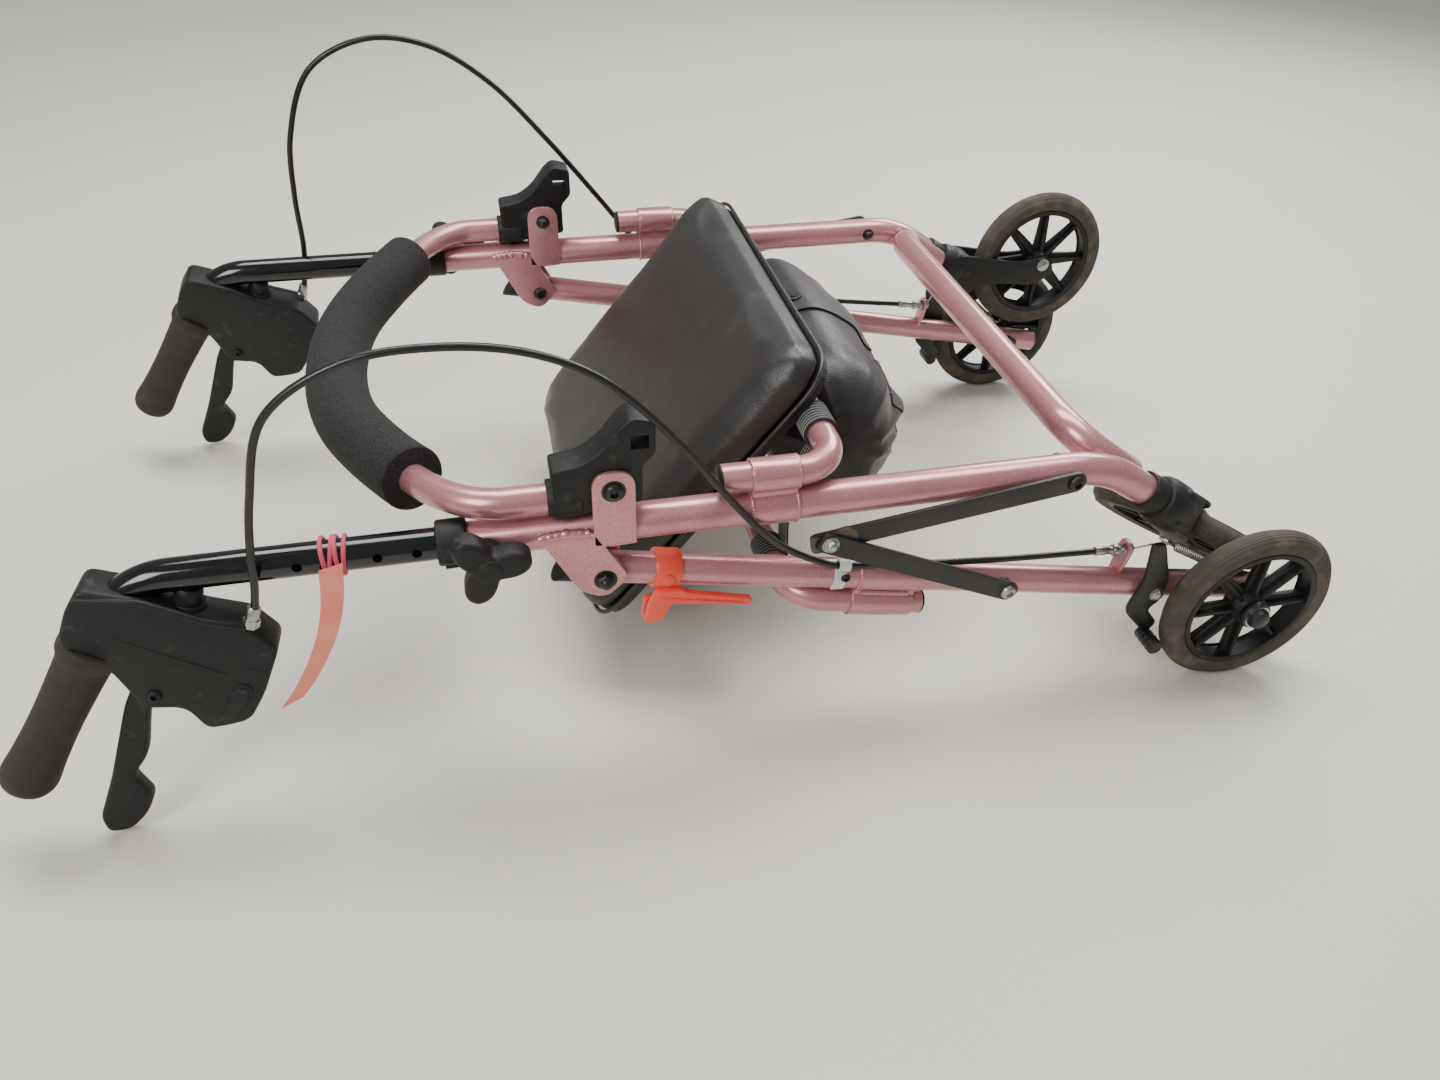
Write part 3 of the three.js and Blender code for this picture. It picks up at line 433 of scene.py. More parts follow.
def swept(line, radius, sides=40, edge=0.8, closed=False):
    """Round section along a line. radius is a number or one for each point; edge rounds the ends."""
    radii = list(radius) if hasattr(radius, "__len__") else [radius] * len(line)
    line = [Vector(p) for p in line]
    if edge and not closed:
        first, last = (line[1] - line[0]).normalized(), (line[-1] - line[-2]).normalized()
        head = [line[0], line[0] + first * edge * 0.3, line[0] + first * edge]
        tail = [line[-1] - last * edge, line[-1] - last * edge * 0.3, line[-1]]
        r0, r1 = radii[0], radii[-1]
        line = head + line[1:-1] + tail
        radii = [r0 - edge, r0 - edge * 0.3, r0] + radii[1:-1] + [r1, r1 - edge * 0.3, r1 - edge]
    count = len(line)
    mesh = bmesh.new()
    rings, normal = [], None
    for i, point in enumerate(line):
        before = line[i - 1] if i or closed else point
        after = line[(i + 1) % count] if i < count - 1 or closed else point
        way = (after - before).normalized()
        if normal is None:
            normal = way.orthogonal().normalized()
        normal = (normal - way * normal.dot(way)).normalized()
        other = way.cross(normal)
        rings.append([mesh.verts.new(point + radii[i] * (
            normal * math.cos(2 * math.pi * k / sides) + other * math.sin(2 * math.pi * k / sides)))
            for k in range(sides)])
    pairs = list(zip(rings, rings[1:])) + ([(rings[-1], rings[0])] if closed else [])
    for a, b in pairs:
        for k in range(sides):
            mesh.faces.new((a[k], a[(k + 1) % sides], b[(k + 1) % sides], b[k]))
    if not closed:
        mesh.faces.new(rings[0][::-1])
        mesh.faces.new(rings[-1])
    return mesh


def hexagon(angle):
    """Radius of a hexagon of unit inner radius at an angle."""
    return 1 / math.cos((angle + math.pi / 6) % (math.pi / 3) - math.pi / 6)


def turned(section, sides=48, place=HERE, ring=False, hexed=()):
    """Section of (radius, height) turned about Z; ring joins its last point to its first.
    hexed lists the points whose outline is a hexagon."""
    mesh = bmesh.new()
    rings = []
    for i, (radius, height) in enumerate(section):
        if radius < 1e-6:
            rings.append([mesh.verts.new((0, 0, height))])
            continue
        points = []
        for k in range(sides):
            angle = 2 * math.pi * k / sides
            r = radius * (hexagon(angle) if i in hexed else 1)
            points.append(mesh.verts.new((r * math.cos(angle), r * math.sin(angle), height)))
        rings.append(points)
    for a, b in list(zip(rings, rings[1:])) + ([(rings[-1], rings[0])] if ring else []):
        for k in range(sides):
            n = (k + 1) % sides
            if len(a) == 1:
                mesh.faces.new((a[0], b[n], b[k]))
            elif len(b) == 1:
                mesh.faces.new((a[k], a[n], b[0]))
            else:
                mesh.faces.new((a[k], a[n], b[n], b[k]))
    mesh.transform(place)
    return mesh


def rounded(corners, steps=5):
    """Outline of [x, z, rounding] corners, each rounding a smooth curve."""
    outline = []
    for i, (x, z, *rest) in enumerate(corners):
        here = Vector((x, z))
        before, after = Vector(corners[i - 1][:2]), Vector(corners[(i + 1) % len(corners)][:2])
        reach = min(rest[0] if rest else 0, 0.45 * (here - before).length, 0.45 * (after - here).length)
        enter = here + (before - here).normalized() * reach
        leave = here + (after - here).normalized() * reach
        if reach <= 0:
            outline.append(here)
            continue
        for k in range(steps + 1):
            t = k / steps
            outline.append(enter * (1 - t) ** 2 + here * 2 * t * (1 - t) + leave * t ** 2)
    return outline


def inset(outline, amount):
    """The outline moved inwards by an amount."""
    area = sum(a.x * b.y - b.x * a.y for a, b in zip(outline, outline[1:] + outline[:1]))
    turn = 1 if area > 0 else -1
    moved = []
    for i, here in enumerate(outline):
        into = (here - outline[i - 1]).normalized()
        out = (outline[(i + 1) % len(outline)] - here).normalized()
        normal = Vector((-into.y - out.y, into.x + out.x)) * turn
        normal.normalize()
        lean = max(0.5, normal.dot(Vector((-into.y, into.x)) * turn))
        moved.append(here + normal * amount / lean)
    return moved


def slab(outline, low, high, edge=1.0, upright=True, steps=4):
    """Outline in X-Z given a thickness across Y, its two rims rounded by edge.
    With upright off, the outline lies in X-Y and the thickness is along Z."""
    clean = [p for i, p in enumerate(outline) if (p - outline[i - 1]).length > 0.02]
    layers = []
    for k in range(steps + 1):
        angle = math.pi / 2 * k / steps
        layers.append((edge * (1 - math.sin(angle)), low + edge * (1 - math.cos(angle))))
    layers += [(amount, low + high - level) for amount, level in reversed(layers)]
    mesh = bmesh.new()
    rings = []
    for amount, level in layers:
        points = inset(clean, amount) if amount > 1e-6 else clean
        rings.append([mesh.verts.new((p.x, level, p.y) if upright else (p.x, p.y, level)) for p in points])
    count = len(clean)
    for a, b in zip(rings, rings[1:]):
        for k in range(count):
            mesh.faces.new((a[k], a[(k + 1) % count], b[(k + 1) % count], b[k]))
    mesh.faces.new(rings[0][::-1])
    mesh.faces.new(rings[-1])
    return mesh


def moved(mesh, place):
    mesh.transform(place)
    return mesh


def piece(name, shapes, look, body, *nodes, place=LEVEL, sharp=38, cuts=()):
    """One object from closed shapes: smooth shaded, finished, and riding on its body.
    cuts are shapes taken out of it; nodes are the CAD nodes that it stands for."""
    whole = bpy.data.meshes.new(name)
    all_in_one = bmesh.new()
    for shape in shapes:
        bmesh.ops.recalc_face_normals(shape, faces=shape.faces)
        part = bpy.data.meshes.new("part")
        shape.to_mesh(part)
        shape.free()
        all_in_one.from_mesh(part)
        bpy.data.meshes.remove(part)
    all_in_one.to_mesh(whole)
    all_in_one.free()
    made = bpy.data.objects.new(name, whole)
    bpy.context.scene.collection.objects.link(made)
    for cutter in cuts:
        cut_away(made, cutter)
    shade(made.data, sharp)
    made.data.transform(place)
    if place.determinant() < 0:
        made.data.flip_normals()
    made.data.materials.clear()
    made.data.materials.append(look)
    if isinstance(body, str):
        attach(made, body)
    if nodes:
        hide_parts(*nodes)
    return made


def shade(mesh, sharp):
    work = bmesh.new()
    work.from_mesh(mesh)
    for face in work.faces:
        face.smooth = True
    for edge in work.edges:
        edge.smooth = not (edge.is_manifold and edge.calc_face_angle(0) > math.radians(sharp))
    work.to_mesh(mesh)
    work.free()


def cut_away(made, cutter_shape):
    bmesh.ops.recalc_face_normals(cutter_shape, faces=cutter_shape.faces)
    mesh = bpy.data.meshes.new("cutter")
    cutter_shape.to_mesh(mesh)
    cutter_shape.free()
    cutter = bpy.data.objects.new("cutter", mesh)
    bpy.context.scene.collection.objects.link(cutter)
    cut = made.modifiers.new("cut", "BOOLEAN")
    cut.operation, cut.solver, cut.object = "DIFFERENCE", "EXACT", cutter
    bpy.context.view_layer.update()
    seen = made.evaluated_get(bpy.context.evaluated_depsgraph_get())
    result = bpy.data.meshes.new_from_object(seen)
    made.modifiers.clear()
    old = made.data
    made.data = result
    bpy.data.meshes.remove(old)
    bpy.data.objects.remove(cutter)
    bpy.data.meshes.remove(mesh)


def weld_bead(line, radius=1.6, pitch=2.6, closed=False):
    """Stacked ripples of a weld along a line."""
    fine = []
    pairs = list(zip(line, line[1:])) + ([(line[-1], line[0])] if closed else [])
    for a, b in pairs:
        parts = max(1, round((Vector(b) - Vector(a)).length / (pitch / 6)))
        fine += [Vector(a).lerp(Vector(b), k / parts) for k in range(parts)]
    radii = [radius * (0.88 + 0.15 * abs(math.sin(math.pi * k / 6))
                       + 0.12 * noise.noise(Vector((k * 0.21, 1, 2))))
             for k in range(len(fine))]
    return swept(fine, radii, 10, edge=0, closed=closed)


def ring_line(centre, way, radius, count=72):
    """Points of a circle about a direction."""
    place = facing(centre, way)
    angles = [2 * math.pi * k / count for k in range(count)]
    return [place @ Vector((radius * math.cos(a), radius * math.sin(a), 0)) for a in angles]


def button_bolt(radius=6.5, height=3.6):
    """Button head with a hexagon socket, about Z, seated at zero."""
    socket = radius * 0.42
    section = [(0, height * 0.35), (socket, height * 0.35), (socket, height), (radius * 0.66, height * 0.95),
               (radius * 0.9, height * 0.62), (radius, height * 0.2), (radius, 0), (0, 0)]
    return turned(section, 36, hexed=(1, 2))


def dome_nut(radius=5.5, height=8):
    """Hexagon nut with a domed cap and a washer, about Z, seated at zero."""
    section = [(0, height), (radius * 0.5, height * 0.93), (radius * 0.82, height * 0.7),
               (radius * 0.86, height * 0.55),
               (radius * 0.92, height * 0.52), (radius, height * 0.45), (radius, 1), (radius * 1.28, 1),
               (radius * 1.28, 0), (0, 0)]
    return turned(section, 36, hexed=(4, 5, 6))


camera()
studio()


def floor():
    mesh = bpy.data.meshes.new("floor")
    work = bmesh.new()
    bmesh.ops.create_grid(work, x_segments=1, y_segments=1, size=40)
    work.to_mesh(mesh)
    work.free()
    ground = bpy.data.objects.new("floor", mesh)
    ground.location.z = -0.0004
    bpy.context.scene.collection.objects.link(ground)
    mesh.materials.append(Finish("pale_studio_floor", "cbc6bd", "d2cdc4", 900, (0.55, 0.65)).done())


floor()


# ---- tube joinery -------------------------------------------------------------------------
def eight_outline(low_r, high_r, rise, web=6.5):
    """Two rings one above the other with a short web between them."""
    outline = []
    for radius, middle, start in ((low_r, 0, math.pi / 2), (high_r, rise, -math.pi / 2)):
        opening = math.asin(web / radius)
        for k in range(33):
            angle = start + opening + (2 * math.pi - 2 * opening) * k / 32
            outline.append(Vector((radius * math.cos(angle), middle + radius * math.sin(angle))))
    return outline


def along_tube(at, way, up):
    """Local X across the walker, local Y up from the tube, local Z along it."""
    place = Matrix(((0, 1, 0), up, way)).transposed().to_4x4()
    place.translation = at
    return place


def double_sleeve(at, way, up, low_r, high_r, rise, length):
    sleeve = slab(eight_outline(low_r, high_r, rise), 0, length, 0.7, upright=False)
    return moved(sleeve, along_tube(at, way, up))


UPPER_EAR = [[-14.5, 198, 3], [-14.5, 257, 13], [14.5, 257, 13], [14.5, 198, 3]]
LOWER_EAR = [[-52, 211, 4], [-15, 211, 3], [9, 168, 8], [-8, 151, 10], [-26, 160, 8]]
FRONT_SLEEVE = (97, 130)
REAR_SLEEVE = (196, 248)


def main_tube(name, side):
    y = side * HALF
    corners = [(MAIN_START, y, MAIN_Z), (MAIN_CORNER, y, MAIN_Z), (STEM_END.x, y, STEM_END.z)]
    line = bends(corners, MAIN_BEND, 3)
    shapes = [swept(line, MAIN_R, 56)]
    start, end = FRONT_SLEEVE
    shapes.append(double_sleeve((start, y, MAIN_Z), (1, 0, 0), (0, 0, 1), MAIN_R + 1.2, SEAT_R + 2,
                                SEAT_RISE, end - start))
    for x in (start, end):
        shapes.append(weld_bead(ring_line((x, y, MAIN_Z), (1, 0, 0), MAIN_R + 0.6), 1.5, closed=True))
        seam = ring_line((x, y, MAIN_Z + SEAT_RISE), (1, 0, 0), SEAT_R + 0.9)
        shapes.append(weld_bead(seam, 1.2, closed=True))
    for face in (-1, 1):
        ear = y + face * (EAR_IN + EAR_T / 2)
        for outline in (UPPER_EAR, LOWER_EAR):
            shapes.append(slab(rounded(outline, 8), ear - EAR_T / 2, ear + EAR_T / 2, 0.7))
        toe = y + face * (EAR_IN + EAR_T * 0.6)
        shapes.append(weld_bead([(-51, toe, 209), (-34, toe, 211), (-17, toe, 209.5)], 3.6, 5.2))
        shapes.append(weld_bead([(-15, toe, 198.5), (0, toe, 197.6), (15, toe, 198.5)], 1.5))
        shapes.append(weld_bead([(-14.8, toe, 200), (-14.8, toe, 210)], 1.3))
    return piece(f"main_tube_finish_{name}", shapes, ENAMEL, "main_frame", f"main_tube_{name}")


def end_plug(radius):
    """Low domed plastic plug closing a tube end, about Z."""
    return turned([(0, 2.6), (radius * 0.6, 2.3), (radius * 0.92, 1.3), (radius, 0.2), (radius, -1),
                   (0, -1)], 36)


def seat_tubes():
    height = MAIN_Z + SEAT_RISE
    corners = [(75, -HALF, height), (FRONT_BAR_X, -HALF, height), (FRONT_BAR_X, HALF, height),
               (75, HALF, height)]
    piece("seat_front_tube_finish", [swept(bends(corners, SEAT_BEND), SEAT_R, 48)], ENAMEL, "main_frame",
          "seat_front_tube")
    rear = [on_leg(258, -REAR_DROP, -HALF), on_leg(148, -REAR_DROP, -HALF),
            on_leg(148, -REAR_DROP, HALF), on_leg(258, -REAR_DROP, HALF)]
    piece("seat_rear_tube_finish", [swept(bends(rear, SEAT_BEND), SEAT_R, 48)], ENAMEL, "rear_frame",
          "seat_rear_tube")
    for name, side in SIDES.items():
        front_end = facing((75, side * HALF, height), (-1, 0, 0))
        piece(f"front_tube_plug_{name}", [moved(end_plug(SEAT_R), front_end)], ABS, "main_frame")
        rear_end = facing(rear[-1] if side > 0 else rear[0], LEG_WAY)
        piece(f"rear_tube_plug_{name}", [moved(end_plug(SEAT_R), rear_end)], ABS, "rear_frame")


CROSS_Y = HALF - 2 * MAIN_R - GAP


def cross_tube():
    corner = Vector((MAIN_CORNER - 8, 0, MAIN_Z + 5.4))
    end = corner + STEM * 62
    across = Vector((0, CROSS_Y, 0))
    line = bends([end - across, corner - across, corner + across, end + across], 36, 3)
    shapes = [swept(line, MAIN_R, 56)]
    stem_up = Vector((-STEM.z, 0, STEM.x))
    for side in SIDES.values():
        for lift in (6, -6):
            seam = Vector((0, side * (CROSS_Y + MAIN_R), 0)) + stem_up * (lift - 3)
            shapes.append(weld_bead([corner + STEM * 6 + seam, corner + STEM * 60 + seam], 2.6, 3.2))
    piece("front_cross_tube_finish", shapes, ENAMEL, "main_frame", "front_cross_tube")


# ---- handles ------------------------------------------------------------------------------
HOUSING = [[-333, 210, 6], [-300, 197, 6], [-268, 178, 6], [-242, 168, 5], [-227, 147, 6], [-243, 112, 8],
           [-256, 92, 10], [-272, 90, 5], [-284, 90, 6], [-294, 110, 8], [-318, 114, 4], [-330, 146, 4],
           [-352, 158, 5], [-353, 176, 6], [-344, 195, 6]]
LEVER = [[-300, 132, 4], [-296, 118, 4], [-316, 112, 8], [-321, 97, 8], [-329, 68, 8], [-342, 52, 5],
         [-338, 42, 5], [-334, 32, 6], [-342, 16, 8], [-356, 3.6, 7], [-371, 4.4, 5], [-373, 18, 6],
         [-357, 52, 10], [-333, 112, 8], [-322, 130, 6]]
GRIP_SECTION = [(0, 0), (19.2, 0), (20.2, 1), (20.5, 5), (20.2, 9), (18.6, 12.5), (17.5, 17),
                (16.9, 30), (16.3, 50), (16.0, 66), (16.3, 84), (17.1, 102), (18.2, 114), (18.4, 119),
                (17.8, 123), (16.2, 127), (13.6, 129.4), (11.5, 130), (10.8, 129.2), (0, 129.2)]


def handle(name, side):
    place, body = handle_place(side), f"handle_{name}"
    line = bends([(-40, 0, MAIN_Z), (GRIP_CORNER, 0, MAIN_Z), grip_at(165)], 50, 3)
    holes = [swept([(x, side * 16, MAIN_Z), (x, side * 5, MAIN_Z)], 3.2, 20, edge=0)
             for x in (-130, -155, -180, -205)]
    post = swept(line, POST_R, 48)
    piece(f"handle_post_finish_{name}", [post], POST_BLACK, body, f"handle_post_{name}", place=place,
          cuts=holes)
    grip = turned(GRIP_SECTION, 56, facing(grip_at(52), GRIP_WAY))
    piece(f"grip_finish_{name}", [grip], GRIP_LOOK, body, f"grip_{name}", place=place, sharp=50)
    slot = slab([Vector(p) for p in ((-356, 72), (-275, 72), (-275, 141), (-356, 141))], -6.8, 6.8, 0.2)
    piece(f"brake_housing_finish_{name}", [slab(rounded(HOUSING, 8), -15.5, 15.5, 3.4)], ABS, body,
          f"brake_housing_{name}", place=place, cuts=[slot])
    lip = [(-337, side * 14.4, 203), (-300, side * 14.8, 195.5), (-268, side * 14.8, 176.5),
           (-243, side * 14.4, 167)]
    raised = [swept(bends(lip, 24, 4), 2.6, 16)]
    raised.append(swept([(-322, side * 15.3, 172), (-262, side * 15.3, 133)], 0.7, 10, edge=0.4))
    raised.append(swept([(-252, side * 15.3, 137), (-241, side * 15.3, 132)], 0.6, 10, edge=0.4))
    badge = [Vector((6 * math.cos(t), 6 * math.sin(t) + (7 if math.sin(t) > 0 else -7)))
             for t in (2 * math.pi * k / 48 for k in range(48))]
    lean = Matrix.Translation((-259, side * 15.2, 112)) @ Matrix.Rotation(math.radians(32), 4, "Y")
    raised.append(moved(slab(badge, -1.2, 1.2, 0.7), lean))
    collar = slab([p * 0.78 for p in badge], -1.9, 1.9, 0.6)
    raised.append(moved(collar, lean))
    button = [(0, 29), (5, 28.8), (7.6, 28), (8.6, 26.4), (8.8, 24), (8.8, 0), (0, 0)]
    raised.append(turned(button, 40, facing((-281, 0, 168), (6, 0, 22))))
    raised.append(turned([(0, 19.5), (10.2, 19.5), (10.8, 18.6), (10.8, 0), (0, 0)], 40,
                         facing((-281, 0, 166), (6, 0, 22))))
    piece(f"brake_housing_panel_{name}", raised, ABS, body, place=place)
    way = Vector((9, 0, 23)).normalized()
    barrel = [(0, 13), (5, 13), (5, 18.4), (4.2, 19.2), (4.2, 27.4), (3.6, 28.4), (0, 28.4)]
    piece(f"cable_adjuster_{name}", [turned(barrel, 36, facing((-246, side * 11, 154), way), hexed=(1, 2))],
          ZINC, body, place=place)
    piece(f"brake_lever_finish_{name}", [slab(rounded(LEVER, 8), -6, 6, 3.4)], ABS, f"brake_lever_{name}",
          f"brake_lever_{name}", place=place)
    pivot = [moved(button_bolt(4.6, 2.6), facing((-309, face * 15.4, 124), (0, face, 0)))
             for face in (-1, 1)]
    piece(f"lever_pin_{name}", pivot, ABS, body, place=place)


def height_clamp(name, side):
    y = side * HALF
    collar = [(11.4, -16), (14.6, -16), (15.5, -15.2), (15.7, -13), (15.9, 1), (15.5, 3.4), (14.9, 4),
              (13.6, 4), (13.6, -1), (11.4, -1)]
    shapes = [turned(collar, 48, facing((MAIN_START - GAP, y, MAIN_Z), (1, 0, 0)), ring=True)]
    shapes.append(weld_bead([(x, y + side * 15.4, MAIN_Z - 9) for x in (-113, -101)], 1.2))
    piece(f"post_collar_finish_{name}", shapes, ABS, "main_frame", f"post_collar_{name}")
    lobes = []
    for k in range(96):
        angle = 2 * math.pi * k / 96
        reach = 20.5 + 8.5 * math.cos(3 * (angle - math.radians(8)))
        lobes.append(Vector((-86 + reach * math.cos(angle), MAIN_Z + reach * math.sin(angle))))
    low, high = sorted((y + side * 21, y + side * 37.5))
    boss = [(0, MAIN_R + GAP), (9.5, MAIN_R + GAP), (10.5, MAIN_R + 2), (10.5, 27), (0, 27)]
    cap = [(0, 39), (6, 38.8), (9, 38), (10, 36), (0, 36)]
    out = facing((-86, y, MAIN_Z), (0, side, 0))
    knob = [slab(lobes, low, high, 4, steps=6), turned(boss, 40, out), turned(cap, 40, out)]
    piece(f"height_knob_finish_{name}", knob, ABS, f"height_knob_{name}", f"height_knob_{name}")


# ---- backrest -----------------------------------------------------------------------------
BRACKET = [[-40, 259, 3], [-20, 262, 8], [-6, 272, 8], [6, 288, 8], [14, 294, 4], [29, 290, 4], [29, 266, 4],
           [20, 257, 4], [20, 229, 3], [-38, 220.5, 3]]
HALF_BOW = [(-40, HALF), (-98, HALF), (-150, 150), (-188, 60)]


def bow_point(x, y):
    return Vector((x, y, BACK_TUBE_Z + min(0, (x + 98) * 0.16)))


def eased(line, rounds=4):
    """Corners cut again and again until the line runs in one soft curve."""
    for _ in range(rounds):
        soft = [line[0]]
        for a, b in zip(line, line[1:]):
            soft += [a.lerp(b, 0.25), a.lerp(b, 0.75)]
        line = soft + [line[-1]]
    return line


def backrest():
    corners = [bow_point(x, y) for x, y in HALF_BOW] + [bow_point(x, -y) for x, y in reversed(HALF_BOW)]
    bow = eased(corners)
    piece("backrest_tube_finish", [swept(bow, BACK_TUBE_R, 40)], ENAMEL, "backrest", "backrest_tube")
    covered = [p for p in bow if abs(p.y) < 186]
    radii = [FOAM_R + 0.5 * noise.noise(p * 0.02) for p in covered]
    foam = piece("backrest_foam_finish", [swept(covered, radii, 64, edge=1.6)], FOAM, "backrest",
                 "backrest_foam")
    for name, side in SIDES.items():
        y = side * HALF
        slot_corners = [Vector(p) for p in ((12.5, 271), (24.5, 271), (24.5, 281), (12.5, 281))]
        slot = slab(slot_corners, y - 15, y + 15, 0.2)
        piece(f"backrest_bracket_finish_{name}", [slab(rounded(BRACKET, 6), y - 11.9, y + 11.9, 1.6)], ABS,
              "backrest", f"backrest_bracket_{name}", cuts=[slot])
        socket = [(11, 0), (12.6, 0), (13.2, 0.8), (13.2, 22), (12.4, 23), (11, 23)]
        mouth = facing((-43, y, BACK_TUBE_Z), (1, 0, 0))
        piece(f"backrest_socket_{name}", [turned(socket, 48, mouth, ring=True)], ABS, "backrest")


def pivot_bolts(name, side):
    y, seat = side * HALF, EAR_IN + EAR_T + GAP
    bolts = [("backrest_bolt", Vector((0, 0, BACK_Z)), button_bolt(6.5, 3.8), dome_nut(4.9, 6.5)),
             ("fold_bolt", Vector((FOLD.x, 0, FOLD.z)), dome_nut(5.4, 8), button_bolt(6.5, 3.8))]
    for node_name, at, outer, inner in bolts:
        shapes = [moved(outer, facing((at.x, y + side * seat, at.z), (0, side, 0))),
                  moved(inner, facing((at.x, y - side * seat, at.z), (0, -side, 0))),
                  moved(turned([(0, 0), (8.2, 0), (8.2, 0.9), (0, 0.9)], 40),
                        facing((at.x, y + side * (seat - 0.8), at.z), (0, side, 0))),
                  swept([(at.x, y - seat, at.z), (at.x, y + seat, at.z)], 3.2, 24)]
        piece(f"{node_name}_finish_{name}", shapes, BLACK_STEEL, "main_frame", f"{node_name}_{name}")


# ---- rear frame ---------------------------------------------------------------------------
ANCHOR = {"along": 430, "rise": 30, "inward": 4}
ARM_PIVOT = joint_at("brake_arm_right")
ARM_ALONG = (ARM_PIVOT - on_leg(0, 0, ARM_PIVOT.y)).length


def rear_leg(name, side):
    y = side * HALF
    shapes = [swept([on_leg(-13, 0, y), on_leg(LEG_LENGTH, 0, y)], LEG_R, 56)]
    start, end = REAR_SLEEVE
    down = -LEG_UP
    shapes.append(double_sleeve(on_leg(start, 0, y), LEG_WAY, down, LEG_R + 0.9, SEAT_R + 2, REAR_DROP,
                                end - start))
    for along in (start, end):
        shapes.append(weld_bead(ring_line(on_leg(along, 0, y), LEG_WAY, LEG_R + 0.5), 1.4, closed=True))
    ripple = [on_leg(start + 6 + 8 * k, -12.5, y + side * 7.6) for k in range(6)]
    shapes.append(weld_bead(ripple, 2.4, 5.2))
    tab = [[-6, 6, 1], [-8, 24, 4], [-8, 38, 8], [8, 38, 8], [8, 24, 4], [6, 6, 1]]
    tab_place = along_tube(on_leg(ANCHOR["along"] - 1.6, 0, y - side * ANCHOR["inward"]), LEG_WAY, LEG_UP)
    shapes.append(moved(slab(rounded(tab, 6), 0, 3.2, 0.5, upright=False), tab_place))
    anchor_weld = [on_leg(ANCHOR["along"], 12, y - side * (ANCHOR["inward"] + w)) for w in (-6, 0, 6)]
    shapes.append(weld_bead(anchor_weld, 1.6))
    piece(f"rear_leg_finish_{name}", shapes, ENAMEL, "rear_frame", f"rear_leg_{name}")
    piece(f"leg_end_plug_{name}", [moved(end_plug(LEG_R), facing(on_leg(LEG_LENGTH, 0, y), LEG_WAY))], ABS,
          "rear_frame")


def stadium(length, half, overrun):
    """Flat bar outline from its first hole to overrun past the second, round at the first end."""
    outline = [Vector((half * math.cos(a), half * math.sin(a)))
               for a in (math.pi / 2 + math.pi * k / 20 for k in range(21))]
    corner = min(half, overrun) * 0.55
    tail = rounded([[length + overrun, -half, corner], [length + overrun, half, corner]] + [[0, half, 0]], 8)
    return outline + tail[:-1]


def flat_bar(start, end, low, high, overrun, half=8.5, from_share=0.0):
    """Bar lying in the X-Z plane between two bolts."""
    way = end - start
    shape = slab(stadium(way.length * (1 - from_share), half, overrun), low, high, 0.5)
    turn = Matrix.Rotation(-math.atan2(way.z, way.x), 4, "Y")
    at = start + way * from_share
    return moved(shape, Matrix.Translation((at.x, 0, at.z)) @ turn)


ELBOW = Vector((152.4, 0, 179.8))
LINK_IN, LINK_T = MAIN_R + 3.2, 3


def brace(name, side):
    y = side * HALF
    front, rear = joint_at(f"front_brace_{name}"), joint_at(f"rear_brace_{name}")
    front.y = rear.y = 0
    out = Vector((0, side, 0))
    near, far = LINK_IN, LINK_IN + LINK_T + GAP

    def span(inner, thick):
        return sorted((y + side * inner, y + side * (inner + thick)))

    def spacer(at, inner, outer, radius):
        ends = [(at.x, y + side * inner, at.z), (at.x, y + side * outer, at.z)]
        return swept(ends, radius, 28, edge=0.4)

    def head(at, level, shape):
        return moved(shape, facing((at.x, y + side * level, at.z), out))

    piece(f"front_brace_finish_{name}", [flat_bar(front, ELBOW, *span(near, LINK_T), 13),
                                         spacer(front, MAIN_R - 1, near + 0.2, 6)],
          BLACK_STEEL, f"front_brace_{name}", f"front_brace_{name}")
    piece(f"rear_brace_finish_{name}", [flat_bar(rear, ELBOW, *span(far, LINK_T), 8.5),
                                        spacer(rear, LEG_R - 1, far + 0.2, 6)],
          BLACK_STEEL, f"rear_brace_{name}", f"rear_brace_{name}")
    worn = flat_bar(front, ELBOW, *span(near - 0.25, LINK_T + 0.5), 13.2, 8.7, 0.93)
    piece(f"brace_worn_tab_{name}", [worn], BROWN_STEEL, f"front_brace_{name}")
    piece(f"brace_top_bolt_{name}", [head(front, near + LINK_T, button_bolt(6.3, 3.4))], BLACK_STEEL,
          f"front_brace_{name}")
    piece(f"brace_low_bolt_{name}", [head(rear, far + LINK_T, button_bolt(6.3, 3.4)),
                                     head(ELBOW, far + LINK_T, dome_nut(5, 6))], ZINC, f"rear_brace_{name}")
    inner_nut = moved(dome_nut(4.6, 6), facing((front.x, y - side * (MAIN_R - 0.6), front.z), -out))
    piece(f"brace_inner_nut_{name}", [inner_nut], BLACK_STEEL, "main_frame")


# ---- wheels -------------------------------------------------------------------------------
def tread_section():
    """Tyre section with fine ribs round its crown, radius and height."""
    half = TYRE_W / 2
    edge, steps = half - 2.3, 64
    points = [(RIM_R + GAP, 2 - half), (63, 0.7 - half), (67, 0.1 - half), (70.5, 0.6 - half)]
    for k in range(steps + 1):
        across = -edge + 2 * edge * k / steps
        crown = WHEEL_R - 4.6 * (abs(across) / edge) ** 2.4
        points.append((crown - 0.35 * (0.5 - 0.5 * math.cos(2 * math.pi * across / 2.3)), across))
    return points + [(r, -a) for r, a in reversed(points[:4])]


